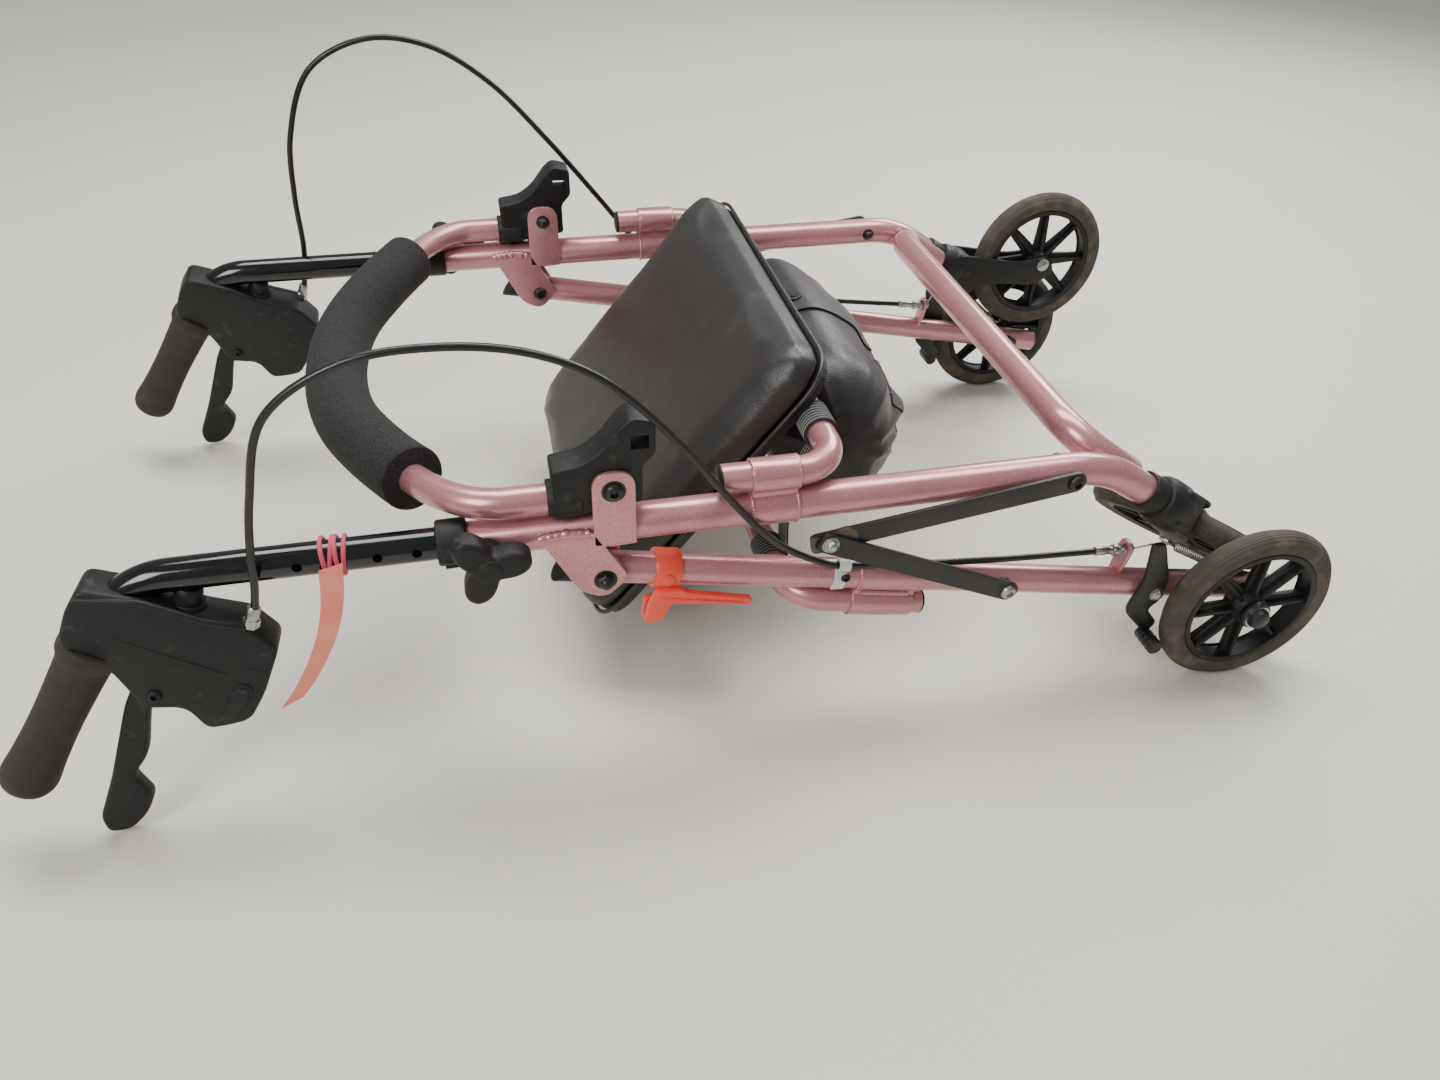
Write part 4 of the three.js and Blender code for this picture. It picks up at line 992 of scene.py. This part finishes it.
def rim_shapes(hub_r):
    lip, hub_half = TYRE_W / 2 - 1.3, TYRE_W / 2 + 1.2
    band = [(53.6, 0.8 - lip), (54.4, -lip), (58.2, -lip), (59, 0.8 - lip), (59, lip - 0.8), (58.2, lip),
            (54.4, lip), (53.6, lip - 0.8), (55.4, 7), (55.4, -7)]
    hub = [(0, -hub_half), (hub_r - 5, -hub_half), (hub_r - 3, 0.8 - hub_half), (hub_r - 1.5, -6),
           (hub_r, -4), (hub_r, 4), (hub_r - 1.5, 6), (hub_r - 3, hub_half - 0.8), (hub_r - 5, hub_half),
           (0, hub_half)]
    shapes = [turned(band, 96, ring=True), turned(hub, 48)]
    spokes = 8
    web = rounded([[hub_r - 3, -7.5, 1], [56, -4.6, 1], [56, 4.6, 1], [hub_r - 3, 7.5, 1]], 3)
    rib = rounded([[hub_r - 4, -2, 0.5], [56, -1.5, 0.5], [56, 1.5, 0.5], [hub_r - 4, 2, 0.5]], 3)
    for k in range(spokes):
        turn = Matrix.Rotation(2 * math.pi * k / spokes, 4, "Z")
        shapes.append(moved(slab(web, -2.4, 2.4, 1, upright=False), turn))
        shapes.append(moved(slab(rib, -7.2, 7.2, 0.8, upright=False), turn))
    return shapes


def wheel(kind, name, centre, axis, body, hub_r):
    place = LEVEL @ facing(centre, axis)
    piece(f"{kind}_tyre_finish_{name}", [turned(tread_section(), 128, ring=True)], TYRE, body,
          f"{kind}_tyre_{name}", place=place, sharp=70)
    piece(f"{kind}_rim_finish_{name}", rim_shapes(hub_r), ABS, body, f"{kind}_rim_{name}", place=place)


def rear_axle(name, side, centre):
    inner = -(LEG_R + (abs(centre.y) - HALF) + 5)
    cap = [(0, 25), (5.5, 24.6), (8.2, 23), (9.2, 20), (9.4, 17.4), (12.4, 17), (13, 15.6), (13, 13.4),
           (4, 13.4), (4, inner + 4.5), (8, inner + 4.5), (8, inner - 3), (6.5, inner - 4), (0, inner - 4)]
    out = facing(centre, (0, side, 0))
    piece(f"rear_axle_finish_{name}", [turned(cap, 48, out, hexed=(10, 11))], BLACK_STEEL, "rear_frame",
          f"rear_axle_{name}")
    ring = [(9.3, 17), (11, 17), (11, 18.4), (9.3, 18.4)]
    piece(f"rear_axle_washer_{name}", [turned(ring, 48, out, ring=True)], ZINC, "rear_frame")


def caster_place(name):
    """Local X trails to the wheel, local Z runs down the swivel axis."""
    top, wheel_at, down = joint_at(f"caster_swivel_{name}"), joint_at(f"caster_spin_{name}"), \
        level_axis(f"caster_swivel_{name}")
    reach = wheel_at - top
    trail = (reach - down * reach.dot(down)).normalized()
    place = Matrix((trail, down.cross(trail), down)).transposed().to_4x4()
    place.translation = top
    return place, reach.dot(down), (reach - down * reach.dot(down)).length


FORK_ARM = [[-16, 14, 8], [19, 16, 8], [48, 84, 14], [72, 112, 16], [60, 130, 14], [36, 118, 16],
            [12, 70, 16], [-16, 46, 10]]


def caster(name):
    place, drop, trail = caster_place(name)
    body = f"caster_{name}"
    inside, thick = TYRE_W / 2 + 1.5, 4.5
    arms = []
    for face in (-1, 1):
        low, high = sorted((face * inside, face * (inside + thick)))
        arms.append(slab(rounded(FORK_ARM, 8), low, high, 1.8))
    barrel = [(0, GAP), (15, GAP), (17.4, 1.4), (19.6, 6), (20.4, 12), (20.4, 24), (18.6, 31), (0, 31)]
    crown = rounded([[-19, 12, 9], [20, 12, 9], [23, 36, 7], [-17, 40, 9]], 6)
    shapes = arms + [turned(barrel, 56), slab(crown, -inside - 4.4, inside + 4.4, 5, steps=7)]
    piece(f"caster_fork_finish_{name}", shapes, ABS, body, f"caster_fork_{name}", place=LEVEL @ place)
    bolts = [moved(dome_nut(5.4, 4.4), facing((trail, face * (inside + thick), drop), (0, face, 0)))
             for face in (-1, 1)]
    bolts.append(swept([(trail, -inside - 4, drop), (trail, inside + 4, drop)], 3.9, 24))
    piece(f"caster_axle_{name}", bolts, ZINC, body, place=LEVEL @ place)
    socket = [(12.8, -17), (14.4, -17), (15.2, -16), (15.6, -3), (15, -0.3), (12.8, -0.3)]
    stem_mouth = facing(joint_at(f"caster_swivel_{name}"), STEM)
    piece(f"caster_socket_{name}", [turned(socket, 48, stem_mouth, ring=True)], ABS, "main_frame")
    wheel("caster", name, joint_at(f"caster_spin_{name}"), level_axis(f"caster_spin_{name}"),
          f"caster_wheel_{name}", 13)


# ---- brakes at the rear wheels ------------------------------------------------------------
ARM = [[-19, 54, 5], [-7, 54, 5], [8, 14, 8], [7, -8, 6], [-3, -17, 6], [11, -34, 4], [3, -46, 5],
       [-25, -16, 10], [-15, 14, 8]]
SHOE_R, SHOE_GAP = 6.5, 3


def brake(name, side):
    y = side * HALF
    x, z = ARM_PIVOT.x, ARM_PIVOT.z
    middle = y + side * (LEG_R + GAP + 2)
    blade = slab(rounded([[x + u, z + w, r] for u, w, r in ARM], 6), middle - 2.6, middle + 2.6, 2.2)
    foot = AXLE + Vector((-0.94, 0, -0.34)).normalized() * (WHEEL_R + SHOE_GAP + SHOE_R)
    shoe = swept([(foot.x, y + side * (LEG_R + GAP), foot.z), (foot.x, y + side * 35, foot.z)], SHOE_R, 32)
    rings = [ring_line((foot.x, y + side * w, foot.z), (0, 1, 0), SHOE_R - 0.2, 40) for w in (20, 25, 30)]
    ridges = [swept(line, 0.5, 8, closed=True) for line in rings]
    piece(f"brake_arm_finish_{name}", [blade, shoe, *ridges], BLACK_STEEL, f"brake_arm_{name}",
          f"brake_arm_{name}")
    nut = moved(dome_nut(5, 5), facing((x, middle + side * 2, z), (0, side, 0)))
    piece(f"brake_arm_nut_{name}", [nut], ZINC, f"brake_arm_{name}")
    coil(name, side, y)
    top = Vector((x - 12, y + side * 6, z + 47))
    wire = [on_leg(ANCHOR["along"] + 3, ANCHOR["rise"], y - side * ANCHOR["inward"]),
            top.lerp(on_leg(440, 34, y), 0.4), top, Vector((x - 9, middle, z + 50))]
    piece(f"brake_wire_{name}", [swept(eased(wire), 0.9, 10)], ZINC, f"brake_arm_{name}")
    tip = on_leg(ANCHOR["along"] - 30, 27.6, y - side * (ANCHOR["inward"] - 1.4))
    way = on_leg(ANCHOR["along"] + 4, ANCHOR["rise"], y - side * ANCHOR["inward"]) - tip
    barrel = [(0, 0), (3.4, 0), (3.8, 1), (3.8, 9), (3.2, 10), (3.2, 17), (4.8, 17.4), (4.8, 21),
              (3.2, 21.4), (3.2, 25), (5.4, 25.2), (5.4, 28.4), (3, 28.6), (3, 36), (0, 36)]
    adjuster = turned(barrel, 32, facing(tip, way), hexed=(10, 11))
    piece(f"anchor_adjuster_{name}", [adjuster], ZINC, "rear_frame")


def coil(name, side, y):
    """Close-wound extension spring with an eye at each end."""
    top, bottom = on_leg(ARM_ALONG + 4, 40, y + side * 2), on_leg(ARM_ALONG + 66, 19, y + side * 2)
    place = facing(top, bottom - top)
    length, turns, around, wire = (bottom - top).length, 21, 3.4, 0.75
    line = [Vector((0, 0, -2)), Vector((0, 0, 1))]
    for k in range(turns * 16 + 1):
        angle = 2 * math.pi * k / 16
        down = 4 + (length - 8) * k / (turns * 16)
        line.append(Vector((around * math.cos(angle), around * math.sin(angle), down)))
    line += [Vector((0, 0, length - 1)), Vector((0, 0, length + 2))]
    eyes = [swept(ring_line(at, (0, 1, 0), 2.6, 24), wire, 8, closed=True)
            for at in ((0, 0, -2.5), (0, 0, length + 2.5))]
    piece(f"brake_spring_finish_{name}", [swept(line, wire, 8, edge=0)] + eyes, ZINC, "rear_frame",
          f"brake_spring_{name}", place=LEVEL @ place, sharp=80)


# ---- cables -------------------------------------------------------------------------------
CABLE_Y = 245.5
LEAD = [(-235.5, 243.5, 181), (-231, 245, 202), (-228.5, CABLE_Y, 222)]
ARCH = {"right": [(-219, 268), (-199, 323), (-151, 353), (-95, 358), (-45, 349), (-4, 327), (44, 275),
                  (76, 230)],
        "left": [(-227, 268), (-219, 325), (-192, 381), (-140, 405), (-88, 398), (-38, 366), (12, 311),
                 (61, 249)]}
CLIP_ALONG, CLIP_OUT = 178, 10


def curve_through(points, steps=14):
    """Centripetal Catmull-Rom curve through points, alpha one half."""
    ends = [points[0] * 2 - points[1]] + points + [points[-1] * 2 - points[-2]]
    line = []
    for p0, p1, p2, p3 in zip(ends, ends[1:], ends[2:], ends[3:]):
        t1 = math.sqrt((p1 - p0).length)
        t2 = t1 + math.sqrt((p2 - p1).length)
        t3 = t2 + math.sqrt((p3 - p2).length)
        for k in range(steps):
            t = t1 + (t2 - t1) * k / steps
            a1, a2 = p0.lerp(p1, t / t1), p1.lerp(p2, (t - t1) / (t2 - t1))
            a3 = p2.lerp(p3, (t - t2) / (t3 - t2))
            b1, b2 = a1.lerp(a2, t / t2), a2.lerp(a3, (t - t1) / (t3 - t1))
            line.append(b1.lerp(b2, (t - t1) / (t2 - t1)))
    return line + [points[-1]]


def brake_cable(name, side):
    clip = on_leg(CLIP_ALONG, 15.2)
    clip_run = [clip + LEG_WAY * step + Vector((0, HALF + CLIP_OUT, 0)) for step in (-9, 9)]
    end = on_leg(ANCHOR["along"] - 1, ANCHOR["rise"], HALF - ANCHOR["inward"])
    route = [Vector(p) for p in LEAD] + [Vector((x, CABLE_Y, z)) for x, z in ARCH[name]]
    route += [Vector((101, 245, 197)), Vector((126, 240.5, 171)), *clip_run, on_leg(300, 19, HALF + 3), end]
    line = [Vector((p.x, p.y * side, p.z)) for p in curve_through(route)]
    top = max(range(len(line)), key=lambda i: line[i].z)
    upper = piece(f"brake_cable_upper_{name}", [swept(line[:top + 1], CABLE_R, 24, edge=0)], SHEATH, None,
                  f"cable_lead_{name}")
    lower = piece(f"brake_cable_lower_{name}", [swept(line[top:], CABLE_R, 24, edge=0)], SHEATH, None,
                  f"brake_cable_{name}")
    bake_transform(upper)
    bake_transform(lower)
    screw_at = (clip.x + 1, side * (HALF + CLIP_OUT + 4.4), clip.z - 9)
    screw = moved(button_bolt(3.6, 2.2), facing(screw_at, (0, side, 0)))
    piece(f"cable_clip_screw_{name}", [screw], ABS, "rear_frame")


# ---- seat ---------------------------------------------------------------------------------
SEAT = {"slope": 51, "front": 40, "rear": 241, "half": 171, "corner": 34, "board": 8, "pad": 30, "edge": 9}


def seat_place():
    """Local X up the seat's slope, local Z out of its top face, starting on the front crossbar."""
    slope = math.radians(SEAT["slope"])
    up_slope = Vector((math.cos(slope), 0, math.sin(slope)))
    out = Vector((-math.sin(slope), 0, math.cos(slope)))
    place = Matrix((up_slope, (0, 1, 0), out)).transposed().to_4x4()
    place.translation = Vector((FRONT_BAR_X, 0, MAIN_Z + SEAT_RISE)) + out * (SEAT_R + 1)
    return place


def seat_outline(shrink, corner=None):
    front, rear, half = SEAT["front"] - shrink, -SEAT["rear"] + shrink, SEAT["half"] - shrink
    c = corner or SEAT["corner"]
    return rounded([[rear, -half, c], [front, -half, c], [front, half, c], [rear, half, c]], 10)


def swell(made, voxel, pressure, cap, hold=None):
    """Blows a closed padded shape up as cloth and keeps how far each point may move."""
    remesh = made.modifiers.new("remesh", "REMESH")
    remesh.mode, remesh.voxel_size = "VOXEL", voxel
    bake(made)
    rest = [v.co.copy() for v in made.data.vertices]
    cloth = made.modifiers.new("cloth", "CLOTH")
    cloth.settings.use_pressure = True
    cloth.settings.uniform_pressure_force = pressure
    cloth.settings.effector_weights.gravity = 0
    if hold:
        group = made.vertex_groups.new(name="held")
        group.add([v.index for v in made.data.vertices if hold(v.co)], 1.0, "REPLACE")
        cloth.settings.vertex_group_mass = "held"
    for step in range(1, 21):
        bpy.context.scene.frame_set(step)
    bake(made)
    bpy.context.scene.frame_set(1)
    for vertex, start in zip(made.data.vertices, rest):
        shift = vertex.co - start
        if shift.length > cap:
            vertex.co = start + shift * (cap / shift.length)
    smooth = made.modifiers.new("smooth", "SMOOTH")
    smooth.factor, smooth.iterations = 0.5, 12
    fine = made.modifiers.new("fine", "SUBSURF")
    fine.levels = fine.render_levels = 1
    bake(made)
    for face in made.data.polygons:
        face.use_smooth = True


def bake(made):
    bpy.context.view_layer.update()
    seen = made.evaluated_get(bpy.context.evaluated_depsgraph_get())
    result = bpy.data.meshes.new_from_object(seen)
    made.modifiers.clear()
    old = made.data
    made.data = result
    bpy.data.meshes.remove(old)


def seat():
    place = LEVEL @ seat_place()
    board_top = SEAT["board"] + GAP
    cushion = slab(seat_outline(0.2), board_top + 0.4, board_top + SEAT["pad"] - 4, 6, upright=False,
                   steps=6)
    pad = piece("seat_pad_upholstery", [cushion], VINYL, "seat", "seat_pad", place=place)
    held_below = (place @ Vector((0, 0, board_top + 3.5)))
    out = (place.to_3x3() @ Vector((0, 0, 1))).normalized()
    swell(pad, 0.005, 4.0, 0.006, lambda co: (co - held_below).dot(out) < 0)
    pad.data.materials.clear()
    pad.data.materials.append(VINYL)
    rim_line = [Vector((p.x, p.y, board_top + 1.4)) for p in seat_outline(0.4)]
    piece("seat_piping", [swept(rim_line, 1.7, 16, closed=True)], VINYL, "seat", place=place)
    felt = slab(seat_outline(14, 30), -0.8, 0.2, 0.3, upright=False)
    piece("seat_lining", [felt], FELT, "seat", place=place)


# ---- bag ----------------------------------------------------------------------------------
BAG = [(180, 246), (212, 252), (258, 216), (270, 168), (252, 122), (205, 98), (158, 112), (150, 150),
       (146, 190), (166, 222)]
BAG_HALF = 138
BAG_MIDDLE = Vector((205, 172))


def bag_loop(count=120):
    """The bag's outline as evenly numbered points, starting behind the front crossbar."""
    corners = [Vector((x, z, 0)) for x, z in BAG]
    soft = eased(corners + [corners[0]], 3)
    return [Vector(soft[int(k * (len(soft) - 1) / count)].xy).lerp(
        Vector(soft[min(len(soft) - 1, int(k * (len(soft) - 1) / count) + 1)].xy),
        (k * (len(soft) - 1) / count) % 1) for k in range(count)]


LOOP = bag_loop()


def bag_point(around, across, lift=0.0):
    """A point of the bag: around in turns of its outline, across from -1 to 1, lifted off the cloth."""
    at = (around % 1) * len(LOOP)
    low = int(at) % len(LOOP)
    p = LOOP[low].lerp(LOOP[(low + 1) % len(LOOP)], at - int(at))
    ends = max(0.0, abs(across) - 0.62) / 0.38
    tuck = 1 - 0.46 * ends ** 2.4
    sag = 0.93 + 0.05 * math.cos(math.pi * across)
    flat = BAG_MIDDLE + (p - BAG_MIDDLE) * tuck * sag
    y = across * BAG_HALF * (1 - 0.05 * ends)
    fold = noise.noise(Vector((p.x * 0.016, across * 2.0, p.y * 0.03))) * 9
    crease = 3 - abs(noise.noise(Vector((p.x * 0.022 + 7, across * 2.4 + p.y * 0.012, p.y * 0.03)))) * 16
    fine = noise.noise(Vector((p.x * 0.05, across * 5 + p.y * 0.03, p.y * 0.06 + 3))) * 2.2
    slack = min(1.0, max(0.12, (240 - flat.y) / 60))
    out = Vector((p.x - BAG_MIDDLE.x, 0, p.y - BAG_MIDDLE.y)).normalized()
    return Vector((flat.x, y, flat.y)) + out * ((fold + crease + fine) * slack * (1 - 0.6 * ends) + lift)


def bag_shell():
    shell = bmesh.new()
    rows, around = 90, 200
    rings = [[shell.verts.new(bag_point(k / around, -1 + 2 * row / rows)) for k in range(around)]
             for row in range(rows + 1)]
    for a, b in zip(rings, rings[1:]):
        for k in range(around):
            shell.faces.new((a[k], a[(k + 1) % around], b[(k + 1) % around], b[k]))
    for ring in (rings[0], rings[-1]):
        middle = sum((v.co for v in ring), Vector()) / around
        inner = [[shell.verts.new(v.co.lerp(middle, share)
                                  + Vector((0, math.copysign(2.5 * share, middle.y), 0)))
                  for v in ring] for share in (0.3, 0.65)]
        hub = shell.verts.new(middle + Vector((0, math.copysign(3, middle.y), 0)))
        for a, b in zip([ring, inner[0]], inner):
            for k in range(around):
                shell.faces.new((a[k], a[(k + 1) % around], b[(k + 1) % around], b[k]))
        for k in range(around):
            shell.faces.new((inner[1][k], inner[1][(k + 1) % around], hub))
    return shell


def bag_strip(around, across, lift, thick):
    """A flat strip sewn to the bag: a closed sheet over ranges of around and across."""
    strip = bmesh.new()
    n, m = 36, 28
    sheets = []
    for level in (lift, lift + thick):
        sheets.append([[strip.verts.new(bag_point(around[0] + (around[1] - around[0]) * i / n,
                                                  across[0] + (across[1] - across[0]) * j / m, level))
                        for j in range(m + 1)] for i in range(n + 1)])
    low, high = sheets
    for i in range(n):
        for j in range(m):
            strip.faces.new((low[i][j], low[i][j + 1], low[i + 1][j + 1], low[i + 1][j]))
            strip.faces.new((high[i][j], high[i + 1][j], high[i + 1][j + 1], high[i][j + 1]))
    rim = [(i, 0) for i in range(n)] + [(n, j) for j in range(m)] + [(i, m) for i in range(n, 0, -1)] \
        + [(0, j) for j in range(m, 0, -1)]
    for (i, j), (k, l) in zip(rim, rim[1:] + rim[:1]):
        strip.faces.new((low[i][j], low[k][l], high[k][l], high[i][j]))
    return strip


def stitches(points, thick=0.45):
    """Short raised threads one after another along a line."""
    made = []
    for a, b in zip(points[::2], points[1::2]):
        made.append(swept([a, b], thick, 6, edge=0.2))
    return made


def bag():
    shell = piece("bag_shell", [bag_shell()], NYLON, "main_frame", "under_seat_bag", sharp=80)
    patch = (0.24, 0.34), (-0.7, -0.3)
    piece("bag_patch", [bag_strip(*patch, 0.3, 1.0)], WEBBING, "main_frame")
    thread = []
    for u in patch[0]:
        inset_u = u + (0.006 if u == patch[0][0] else -0.006)
        line = [bag_point(inset_u, patch[1][0] + (patch[1][1] - patch[1][0]) * k / 41, 1.6)
                for k in range(1, 41)]
        thread += stitches(line)
    for v in patch[1]:
        inset_v = v + (0.018 if v == patch[1][0] else -0.018)
        line = [bag_point(patch[0][0] + (patch[0][1] - patch[0][0]) * k / 41, inset_v, 1.6)
                for k in range(1, 41)]
        thread += stitches(line)
    piece("bag_patch_stitching", thread, FELT, "main_frame")
    piece("bag_flap_band", [bag_strip((0.02, 0.25), (-0.16, 0.16), 0.6, 1.4)], NYLON, "main_frame")
    at = bag_point(0.075, 0, 2.0)
    out = (bag_point(0.075, 0, 6.0) - at).normalized()
    snap = [(0, 2.2), (2.4, 2), (3, 1.2), (5, 1.6), (6.6, 1.2), (7, 0.2), (7, -0.6), (0, -0.6)]
    piece("bag_snap", [turned(snap, 36, facing(at, out))], BLACK_STEEL, "main_frame")


def web_loop(y, width=26):
    """Webbing wrapped round the front crossbar."""
    height = MAIN_Z + SEAT_RISE
    inner, outer = SEAT_R + 0.4, SEAT_R + 2.6
    ring = [(inner, -width / 2), (outer, -width / 2), (outer, width / 2), (inner, width / 2)]
    return turned(ring, 48, facing((FRONT_BAR_X, y, height), (0, 1, 0)), ring=True)


def strap_between(y, width=24, thick=1.4):
    """Flat strap hanging from the front crossbar to the rear one with a little slack."""
    top = Vector((FRONT_BAR_X + SEAT_R - 1, y, MAIN_Z + SEAT_RISE - 4))
    foot = on_leg(148, -REAR_DROP, y) + Vector((SEAT_R + 0.6, 0, 4))
    middle = top.lerp(foot, 0.5) + Vector((-16, 0, -4))
    line = eased([top, middle, foot], 4)
    strap = bmesh.new()
    rows = []
    for i, p in enumerate(line):
        way = (line[min(i + 1, len(line) - 1)] - line[max(i - 1, 0)]).normalized()
        normal = Vector((way.z, 0, -way.x)) * thick / 2
        edges = ((-width / 2, normal), (width / 2, normal), (width / 2, -normal), (-width / 2, -normal))
        rows.append([strap.verts.new(p + Vector((0, w, 0)) + n) for w, n in edges])
    for a, b in zip(rows, rows[1:]):
        for k in range(4):
            strap.faces.new((a[k], a[(k + 1) % 4], b[(k + 1) % 4], b[k]))
    strap.faces.new(rows[0][::-1])
    strap.faces.new(rows[-1])
    return strap, top, foot


def straps():
    for name, side in SIDES.items():
        y = side * 172
        piece(f"bar_webbing_{name}", [web_loop(y)], WEBBING, "main_frame")
        shape, top, foot = strap_between(y)
        strap = piece(f"bag_strap_{name}", [shape], WEBBING, None)
        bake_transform(strap)
        ring = [(SEAT_R + 0.4, -12), (SEAT_R + 2.2, -12), (SEAT_R + 2.2, 12), (SEAT_R + 0.4, 12)]
        low_loop = turned(ring, 48, facing(on_leg(148, -REAR_DROP, y), (0, 1, 0)), ring=True)
        piece(f"rear_bar_webbing_{name}", [low_loop], WEBBING, "rear_frame")


# ---- lock clip and the tie on the right post ----------------------------------------------
def lock_clip():
    y = SIDES["right"] * HALF
    start = on_leg(36, 0, y)
    band = [(LEG_R + GAP, 0), (LEG_R + 2.4, 0), (LEG_R + 3, 0.8), (LEG_R + 3, 18.2), (LEG_R + 2.4, 19),
            (LEG_R + GAP, 19)]
    cheek = [[28, 152, 3], [47, 150, 3], [52, 146, 3], [99, 133, 3], [98, 127, 2], [38, 138, 4],
             [33, 124, 3], [18, 122, 4], [22, 140, 5]]
    shapes = [turned(band, 48, facing(start, LEG_WAY), ring=True),
              slab(rounded(cheek, 6), y - 17, y - 11, 1.4)]
    shapes.append(swept([(30, y - 17.2, 145), (92, y - 17.2, 131)], 1.1, 12))
    boss = [(0, 1.8), (3.6, 1.6), (4.6, 0.8), (5, -1.5), (0, -1.5)]
    shapes.append(turned(boss, 32, facing(on_leg(45.5, 0, y - LEG_R - 3), (0, -1, 0))))
    prong = [[20, 141, 3], [27, 141, 3], [26, 121, 3], [17, 122, 3]]
    shapes.append(slab(rounded(prong, 6), y - 9, y - 4, 1.2))
    piece("lock_clip_finish", shapes, RED, "lock_clip", "lock_clip")


def post_tie():
    """Elastic wound round the right post, holding a short ribbon."""
    place, body = handle_place(SIDES["right"]), "handle_right"
    wraps, around = [], POST_R + 1.5
    for k, (x, lean) in enumerate(((-176, 0.10), (-180, -0.06), (-184.5, 0.14), (-188, -0.12))):
        loop = [Vector((x + lean * 14 * math.sin(a), around * math.cos(a), MAIN_Z + around * math.sin(a)))
                for a in (2 * math.pi * i / 48 for i in range(48))]
        wraps.append(swept(loop, 1.5, 12, closed=True))
    piece("post_elastic", wraps, ELASTIC, body, place=place)
    line = eased([Vector((-184, -14.2, 205)), Vector((-187, -14.6, 178)), Vector((-196, -15, 150)),
                  Vector((-212, -17, 122)), Vector((-226, -20, 106))], 4)
    width, strip = 16, bmesh.new()
    rows = []
    for i, p in enumerate(line):
        twist = 0.5 * i / len(line)
        lean = Vector((math.cos(twist), math.sin(twist) * 0.6, 0.25)).normalized() * width / 2
        rows.append([strip.verts.new(p + lean * s) for s in (-1, -0.5, 0, 0.5, 1)])
    for a, b in zip(rows, rows[1:]):
        for k in range(4):
            strip.faces.new((a[k], a[k + 1], b[k + 1], b[k]))
    ribbon = piece("post_ribbon", [strip], RIBBON, body, place=place)


# ---- make everything ----------------------------------------------------------------------
for name, side in SIDES.items():
    main_tube(name, side)
    handle(name, side)
    height_clamp(name, side)
    pivot_bolts(name, side)
    rear_leg(name, side)
    brace(name, side)
    centre = middle_of(f"rear_tyre_{name}")
    wheel("rear", name, centre, (0, 1, 0), f"rear_wheel_{name}", 16)
    rear_axle(name, side, centre)
    caster(name)
    brake(name, side)
    brake_cable(name, side)
seat_tubes()
cross_tube()
backrest()
seat()
bag()
straps()
lock_clip()
post_tie()
for cad_name, look in (("leg_cap_right", ABS), ("leg_cap_left", ABS), ("cable_clip_right", GREY),
                       ("cable_clip_left", GREY), ("seat_board", BOARD)):
    kept = frame["nodes"][cad_name]
    kept.data.materials.clear()
    kept.data.materials.append(look)
